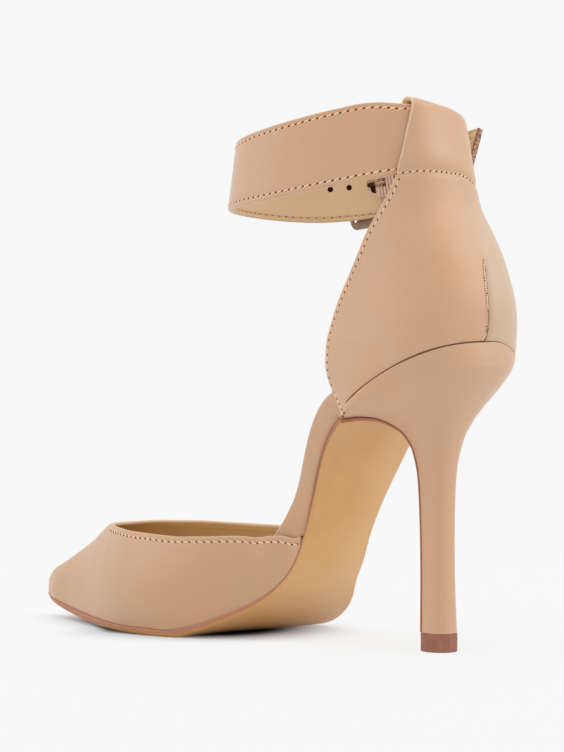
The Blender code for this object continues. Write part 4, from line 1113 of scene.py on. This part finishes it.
def makeStrap(plan):
    # rounded strip carried along its path: leather outside and over its edges, lining inside, painted ends
    at, path, upward, outward, width = strapPath(plan.step)
    half, corner = strapThickness / 2, plan.corner
    # section points: share of the half width, millimetres in from the edge, millimetres outward
    inset = (0.5, 0.75, 1.0, 1.25, 1.5, 1.7, 1.9, 2.1, 2.3, 2.55, 2.9, 3.4, 4.4, 6.2)
    beside = shoe(1, inset, half)
    middle = shoe((plan.middleShare, 0, -plan.middleShare), 0, half)
    face = joined(beside, middle, beside[::-1] * (-1, 1, 1))
    turns = quarterTurn(plan.cornerSteps)[1:]
    edge = shoe(-1, corner * (1 - np.sin(turns)), half - corner * (1 - np.cos(turns)))
    edge = joined(edge, edge[::-1] * (1, 1, -1))
    share, inward, out = joined(face, edge, face[::-1] * (1, 1, -1), edge * (-1, 1, -1)).T
    finish = np.repeat((0, 1, 0), (len(face) + len(edge), len(face) - 1, len(edge) + 1))
    across = share * width[:, None] / 2 - np.sign(share) * inward
    fromEdge = width[:, None] / 2 - np.abs(across)
    pinch = plan.seamPinch * hump(fromEdge, plan.seamIn, plan.seamSpread)
    out = out * (1 - pinch - plan.edgePinch * np.exp(-fromEdge / plan.edgeSpread))
    rings = path[:, None] + upward[:, None] * across[..., None] + outward[:, None] * out[..., None]
    ends = []
    turns = quarterTurn(plan.endSteps)[1:, None, None]
    for last, inner in ((0, 1), (-1, -2)):
        along = unit(path[last] - path[inner])
        shrink = np.stack([across[last] / np.abs(across[last]).max(), out[last] / half], axis=-1)
        pulled = upward[last] * shrink[:, :1] + outward[last] * shrink[:, 1:]
        ends.append(rings[last] + (along * np.sin(turns) - pulled * (1 - np.cos(turns))) * plan.endRound)
    rings = joined(ends[0][::-1], rings, ends[1])
    finish = np.broadcast_to(finish, (len(rings) + 1, len(finish))).copy()
    finish[:plan.endSteps] = 3
    finish[-plan.endSteps:] = 3
    finish[[0, -1]] = 2
    looks = "nude_leather strap_lining cut_end seam_shade"
    piece = closedPiece(rings, "strap_leather_band", looks, "strap_leather", "ankle_strap", finish)
    at, path, upward, outward, index = prongPlace()
    cutters = []

    # the walls that the cutters leave take their finish, painted shade
    def cut(name, start, end, radius):
        rings = cylinderRings(start, end, radius)
        cutters.append(closedPiece(rings, name, "needle_hole", "strap_leather"))

    # spare holes are cut from both faces to a thin dark web, so that no light comes through
    for hole in range(plan.spareHoles):
        here = np.argmin(np.abs(at - at[index] + plan.holeFirst + hole * plan.holeSpacing))
        for sign in (-1, 1):
            web, beyond = [path[here] + outward[here] * sign * far
                           for far in (plan.holeWeb / 2, strapThickness)]
            cut("hole_%d_%d" % (hole + 1, sign + 1), web, beyond, plan.holeRadius)
    hookEnd, tip = bucklePoint(prongRoute(bucklePlan)[[bucklePlan.hookSteps - 1, -1]])
    cut("prong_slot", hookEnd - unit(tip - hookEnd) * bucklePlan.prongClear, tip, plan.slotRadius)
    # inside, the prong has worn its hole wide
    levels = np.array((-2 * strapThickness, plan.pocketDepth - strapThickness / 2))
    cut("prong_pocket", *bucklePoint(shoe(*plan.pocket, levels)), plan.pocketRadius)
    cutOut(piece, cutters)
    return piece


strap = makeStrap(strapPlan)


def makeBuckleFrame(plan):
    # squarish bar carried round a rectangle with round corners, flat and wider above and below
    halfLong = (plan.length - plan.bar) / 2
    halfHigh = (plan.height - plan.bar) / 2
    inner = np.array(((1, 1), (-1, 1), (-1, -1), (1, -1))) * (halfLong - plan.corner, halfHigh - plan.corner)
    angles = ringAngles(4)[:, None] + quarterTurn(plan.cornerSteps)
    rays = np.stack([np.cos(angles), np.sin(angles)], axis=-1)
    outline = (inner[:, None] + rays * plan.corner).reshape(-1, 2)
    rays = rays.reshape(-1, 2)
    turns = ringAngles(plan.barSides)
    wide, deep = [np.sign(wave) * np.abs(wave) ** (2 / plan.squareness)
                  for wave in (np.cos(turns), np.sin(turns))]
    level = rise(np.abs(outline[:, 1]), halfHigh - plan.corner, halfHigh)
    reach = wide * plan.bar / 2 + np.minimum(wide, 0) * plan.flat * level[:, None]
    spot = outline[:, None] + rays[:, None] * reach[..., None]
    out = plan.out + deep * plan.bar / 2
    rings = bucklePoint(shoe(spot[..., 0] + plan.rearBar + halfLong, spot[..., 1], out))
    sheets = Sheets()
    sheets.add(joined(rings, rings[:1]), ring=True)
    sheets.piece("buckle_frame_bar", "silver_metal", "buckle_metal", "buckle_frame")


makeBuckleFrame(bucklePlan)


def bentRings(route, section):
    # a section carried along a route in the buckle's flat
    path = bucklePoint(route)
    up = buckleAxes()[2]
    out = unit(np.cross(unit(np.gradient(path, axis=0)), up))
    return path[:, None] + up * section[..., :1] + out[:, None] * section[..., 1:]


def makeProng(plan):
    # round wire along the prong's route, a little thinner to the end, where it is rounded off
    route = prongRoute(plan)
    angles = ringAngles(plan.prongSides)
    section = np.stack([np.cos(angles), np.sin(angles)], axis=-1) * plan.prongRadius
    left = distances(route)
    left = left[-1] - left
    tip = np.sqrt(np.clip(1 - (1 - np.clip(left / plan.tipRound, 0, 1)) ** 2, plan.tipLeast, 1))
    taper = (1 - plan.thinning * rise(-left, *plan.thinOver)) * tip
    rings = bentRings(route, section * taper[:, None, None])
    closedPiece(rings, "buckle_prong_pin", "prong_metal", "buckle_metal", "buckle_prong")


makeProng(bucklePlan)

elasticPlan = Plan(
    height=10.0, thickness=0.9, wrap=110.0, endGap=0.8, slotHeight=3.0, slotDepth=8.0, slotBack=3.2,
    ribPitch=1.3, ribDepth=0.24, furrow=0.35, bendSteps=40, runSteps=60, sample=0.13, edge=0.25,
    acrossSteps=17, edgeSteps=7,
)


def makeElastic(plan):
    # flat loop from the strap's short end round the rear bar, ribbed across, slotted for the prong
    buckle = bucklePlan
    radius = buckle.bar / 2 + gap + plan.thickness / 2
    angles = np.radians(np.linspace(plan.wrap, -plan.wrap, plan.bendSteps))
    bend = shoe(buckle.rearBar + radius * np.cos(angles), 0.0, buckle.out + radius * np.sin(angles))
    centre, along, _, out = buckleAxes()
    end = np.array((shortEnd.forward[0], shortEnd.side[0], shortEnd.up[0])) - centre
    end = np.array((np.dot(end, along) + plan.endGap, 0.0, np.dot(end, out)))
    half = np.array((0.0, 0.0, strapThickness / 4))
    run = np.linspace(0, 1, plan.runSteps)[:-1, None]
    outer = (end + half) + (bend[0] - end - half) * run
    inner = bend[-1] + (end - half - bend[-1]) * (1 - run[::-1])
    route = joined(outer, bend, inner)
    length = distances(route)[-1]
    even = np.linspace(0, length, int(length / plan.sample))
    route = readAlong(route, route, even)
    flat = plan.height / 2 - plan.edge
    across = np.linspace(-1, 1, plan.acrossSteps) * flat
    rounded = np.linspace(-np.pi / 2, np.pi / 2, plan.edgeSteps)[1:-1]
    edgeWide = flat + plan.edge * np.cos(rounded)
    wide = joined(across, edgeWide, across[::-1], -edgeWide)
    face = np.ones(plan.acrossSteps)
    level = joined(-face, np.sin(rounded), face, -np.sin(rounded))
    wave = np.cos(2 * np.pi * even / plan.ribPitch)
    rib = plan.thickness / 2 - plan.ribDepth * (0.5 + 0.5 * wave)
    section = np.stack(np.broadcast_arrays(wide, level * rib[:, None]), axis=-1)
    # painted shade in the furrows between the ribs
    furrowShade = joined([False], wave > plan.furrow)[:, None]
    looks = "elastic_yarn elastic_furrow"
    rings = bentRings(route, section)
    piece = closedPiece(rings, "buckle_elastic_loop", looks, "ribbed_elastic", "buckle_elastic", furrowShade)
    depth = plan.slotDepth / 2
    corners = np.array(((-1, -1), (1, -1), (1, 1), (-1, 1))) * (depth, plan.slotHeight / 2)
    ahead = buckle.rearBar - plan.slotBack + depth + corners[:, 0]
    box = [bucklePoint(shoe(ahead, corners[:, 1], buckle.out + far)) for far in (-depth, depth)]
    cutOut(piece, [closedPiece(np.stack(box), "elastic_slot", "elastic_yarn", "strap_leather")])


makeElastic(elasticPlan)

# stitches: short rounded bars of thread that dip into the leather, with a dark disc of painted shade for the
# needle hole between each two
strapThread = Plan(
    pitch=2.85, thick=1.0, ends=1.9, share=0.8, slant=0.24, sides=6, rings=7, radius=0.3, crest=0.35,
    sunk=0.03, holeLong=0.52, holeWide=0.31, holeLift=0.03, holeDepth=0.25, holeSides=10, holeEnd=0.05,
    sample=0.4, clearance=0.3,
)
vampThread = Plan(strapThread, pitch=2.9, thick=0.85, holeLong=0.42, holeWide=0.25)
quarterThread = Plan(strapThread, pitch=2.6, thick=0.85, edgeIn=1.4, seamClear=0.8)
tunnelThread = Plan(strapThread, pitch=2.4, thick=0.85, reach=0.985, steps=160, heights=(0.6, 0.8))


def onSurface(piece, points):
    # nearest points and normals on a piece, in shoe directions
    tree = BVHTree.FromObject(piece, bpy.context.evaluated_depsgraph_get())
    hits = [tree.find_nearest(Vector(point)) for point in place(points)]
    right, back, up = np.array([hit[0] for hit in hits]).T / mm
    normalRight, normalBack, normalUp = np.array([hit[1] for hit in hits]).T
    return shoe(forwardCentre - back, right + sideCentre, up), shoe(-normalBack, normalRight, normalUp)


def runFrame(spots, normals, at, clear=0.0):
    # points at distances along a run, clear of its ends, with directions outward, ahead and across
    centres = readAlong(spots, spots, np.clip(at, clear, distances(spots)[-1] - clear))
    out = unit(readAlong(spots, normals, at))
    ahead = unit(np.gradient(centres, axis=-2))
    return centres, out, ahead, unit(np.cross(out, ahead))


def addStitches(sheets, piece, guide, plan, pair=(0, 1)):
    # each bar is a run of rings, widest in its middle, and each hole a small dark disc of painted shade
    guide = readAlong(guide, guide, np.arange(0, distances(guide)[-1], plan.sample))
    spots, normals = onSurface(piece, guide)
    normals = unit(spreadOut(normals, 2))
    total = distances(spots)[-1]
    count = int(total / plan.pitch)
    pitch = total / count
    half = plan.share * pitch / 2
    reach = np.linspace(-1, 1, plan.rings)
    at = (np.arange(count)[:, None] + 0.5) * pitch + reach * half
    centres, out, _, across = runFrame(spots, normals, at)
    radius = plan.radius * plan.thick
    size = radius * np.sqrt(np.clip(1 - np.abs(reach) ** 3, 0.03, 1))
    sink = radius * (plan.crest - np.abs(reach) ** 2.5) - plan.sunk
    angles = ringAngles(plan.sides)[:, None]
    ring = across[:, :, None] * np.cos(angles) + out[:, :, None] * np.sin(angles)
    lean = across * (plan.slant * half * reach)[:, None]
    bars = (centres + lean + out * sink[:, None])[:, :, None] + ring * size[:, None, None]
    for bar in bars:
        sheets.add(capped(bar), pair[0], ring=True)
    centres, out, ahead, across = runFrame(spots, normals, np.arange(count + 1) * pitch, plan.holeEnd)
    angles = ringAngles(plan.holeSides)[:, None]
    tilted = unit(ahead + across * 2 * plan.slant)
    rim = tilted[:, None] * np.cos(angles) * plan.holeLong
    rim = rim + np.cross(out, tilted)[:, None] * np.sin(angles) * plan.holeWide
    wide = (centres + out * plan.holeLift)[:, None] + rim * plan.thick
    deep = wide - out[:, None] * plan.holeDepth
    for hole in np.stack([deep, wide], axis=1):
        sheets.add(capped(hole), pair[1], ring=True)


def stitchStrap(plan):
    # a row along both edges of both faces
    sheets = Sheets()
    at, path, upward, outward, width = strapPath(0.5)
    keep = (at >= plan.ends) & (at <= at[-1] - plan.ends)
    across = upward * (width / 2 - strapPlan.seamIn)[:, None]
    out = outward * (strapThickness / 2 + plan.clearance)
    for edgeSign in (1, -1):
        for outSign, pair in ((1, (0, 1)), (-1, (2, 3))):
            addStitches(sheets, strap, (path + across * edgeSign + out * outSign)[keep], plan, pair)
    sheets.piece("strap_stitches", "cream_thread needle_hole inner_thread inner_hole", "strap_leather")


def stitchVamp(plan):
    # a row a little below the throat's edge, which stops short of its front
    sheets = Sheets()
    guide = throatEdge - throatAway * vampPlan.seamIn + throatOut * plan.clearance
    tip = np.argmax(guide[:, 0])
    for run in (guide[1:tip], guide[tip:-1]):
        addStitches(sheets, vamp, run[run[:, 0] < vampPlan.seamFront], plan)
    sheets.piece("vamp_stitches", "cream_thread needle_hole", "upper_leather")


def stitchQuarter(plan, tunnel):
    # rows along both front edges, and the tunnel's seam round the back
    sheets = Sheets()
    wallRows = quarterPlan.footRows + quarterPlan.rows - 1
    for edge, normal, away, seam in quarterEdges:
        guide = (edge - away * plan.edgeIn + normal * plan.clearance)[:wallRows]
        addStitches(sheets, quarter, guide[edge[:wallRows, 2] < seam - plan.seamClear][::-1], plan)
    around = np.linspace(-tunnel.reach, tunnel.reach, tunnel.steps)
    low, high = [quarterSurface(around, height) for height in tunnel.heights]
    part = (read(seamRows, around, "up") - low[:, 2]) / (high[:, 2] - low[:, 2])
    addStitches(sheets, quarter, low + (high - low) * part[:, None], tunnel)
    sheets.piece("quarter_stitches", "cream_thread needle_hole", "upper_leather")


stitchStrap(strapThread)
stitchVamp(vampThread)
stitchQuarter(quarterThread, tunnelThread)

# painted shadow: a dark line at the bottom of the dart, beside a lip with a painted highlight
dartPlan = Plan(
    low=104.9, high=136.8, step=0.22, tooth=0.95, sides=8, behind=-6.0, taperOver=4.0, thinnest=0.03,
    line=Plan(finish=1, aside=-0.3, half=0.66, ragged=0.26, thick=0.24),
    lip=Plan(finish=0, aside=0.98, half=0.52, ragged=-0.14, thick=0.3),
)


def makeDart(plan):
    # flat beads up the dart at a distance beside its line, their edges ragged by a wave along them
    sheets = Sheets()
    ups = np.arange(plan.low, plan.high, plan.step)
    taper = np.sqrt(np.clip((plan.high - ups) / plan.taperOver, plan.thinnest, 1))
    angles = ringAngles(plan.sides)
    for bead in (plan.line, plan.lip):
        spots, normals = onSurface(quarter, shoe(plan.behind, read(dartRows, ups, "side") + bead.aside, ups))
        normals = unit(spreadOut(normals, 3))
        across = unit(np.cross(unit(np.gradient(spots, axis=0)), normals))
        half = (bead.half + bead.ragged * np.sin(ups * 2 * np.pi / plan.tooth)) * taper
        rings = spots[:, None] + across[:, None] * (half[:, None] * np.cos(angles))[..., None]
        rings = rings + normals[:, None] * (bead.thick * np.sin(angles))[:, None]
        sheets.add(capped(rings), bead.finish, ring=True)
    sheets.piece("dart_seam", "turned_edge seam_shade", "upper_leather")


makeDart(dartPlan)

# studio: pale floor that fades into the backdrop, soft boxes at both sides and above; the floor glows like
# the backdrop, but not where the forefoot stands and shades it; there a painted shadow darkens the floor's
# colour
studioPlan = Plan(
    backdrop=0.935, surround=0.84, aim=(0, 0, 0.08), floor=0.74, floorRadius=1.4, floorRings=24,
    floorSides=96, fade=(0.5, 1.2), cool=(0.69, 0.735, 0.775), glow=0.8, glowFloor=0.12, glowSpan=(0.85, 1.9),
    contact=(0.003, -0.042), contactHalf=(0.0325, 0.04), narrowing=0.6, narrowFrom=(-0.078, -0.044),
    shades=((0.72, 0.92, 1.18), (0.16, 1.0, 2.0)), dark=(0.02, 0.02, 0.022),
    boxes=(
        Plan(name="right_box", place=(-0.9, 1.1, 0.9), size=1.3, power=7.0),
        Plan(name="left_box", place=(0.9, -1.2, 0.8), size=1.3, power=4.0),
        Plan(name="top_box", place=(0.1, 0.0, 1.6), size=1.4, power=7.0),
    ),
)


def makeLights(plan):
    scene = bpy.context.scene
    scene.view_settings.view_transform = "Standard"
    world = bpy.data.worlds.new("studio")
    world.use_nodes = True
    tree = world.node_tree
    background = tree.nodes["Background"]
    seen = tree.nodes.new("ShaderNodeLightPath")
    level = tree.nodes.new("ShaderNodeMapRange")
    level.inputs["To Min"].default_value = plan.surround
    level.inputs["To Max"].default_value = plan.backdrop
    tree.links.new(seen.outputs["Is Camera Ray"], level.inputs["Value"])
    tree.links.new(level.outputs["Result"], background.inputs["Strength"])
    background.inputs["Color"].default_value = (1, 1, 1, 1)
    scene.world = world
    for box in plan.boxes:
        light = bpy.data.lights.new(box.name, "AREA")
        light.shape = "DISK"
        light.size = box.size
        light.energy = box.power
        aimed(box.name, light, box.place, Vector(plan.aim) - Vector(box.place))


def floorFinish(plan):
    finish = Finish("pale_floor", (plan.floor,) * 3, 0.9, Specular_IOR_Level=0.0)
    back = finish.axis(1)
    narrow = 1 + plan.narrowing * (1 - finish.step(back, *plan.narrowFrom))
    sideways = (finish.axis(0) - plan.contact[0]) * (1 / plan.contactHalf[0]) * narrow
    ahead = (back - plan.contact[1]) * (1 / plan.contactHalf[1])
    middle = finish.add("ShaderNodeCombineXYZ", {}, {0: sideways, 1: ahead})
    away, beyond = [finish.add("ShaderNodeVectorMath", {"operation": "LENGTH"}, {0: spot}, "Value")
                    for spot in (finish.spot, middle)]
    glows = finish.step(beyond, *plan.glowSpan)
    # painted shadow: the floor's colour darkens round the forefoot's contact
    deep, wide = [share * (1 - finish.step(beyond, low, high)) for share, low, high in plan.shades]
    ground = finish.tint(glows, plan.cool, (plan.glowFloor,) * 3)
    finish.put("Base Color", finish.tint(deep + wide, ground, plan.dark))
    finish.put("Emission Color", finish.tint(glows, (0.0, 0.0, 0.0), (plan.glow,) * 3))
    finish.put("Emission Strength", 1.0)
    finish.put("Alpha", 1 - finish.step(away, *plan.fade))
    return finish.material


def makeFloor(plan):
    # a disc: rings of quads round a fan
    sides = plan.floorSides
    angles = ringAngles(sides)
    radii = np.linspace(0, plan.floorRadius, plan.floorRings + 1)[1:, None]
    disc = np.stack(np.broadcast_arrays(radii * np.cos(angles), radii * np.sin(angles), 0.0), axis=-1)
    rings = gridQuads(plan.floorRings, sides, True).reshape(-1, 4)[:, ::-1] + 1
    fan = [(0, 1 + step, 1 + (step + 1) % sides) for step in range(sides)]
    mesh = bpy.data.meshes.new("floor")
    mesh.from_pydata([(0, 0, 0)] + disc.reshape(-1, 3).tolist(), [], fan + rings.tolist())
    mesh.shade_smooth()
    mesh.materials.append(floorFinish(plan))
    floor = bpy.data.objects.new("floor", mesh)
    bpy.context.scene.collection.objects.link(floor)


makeLights(studioPlan)
makeFloor(studioPlan)
print("studio made")
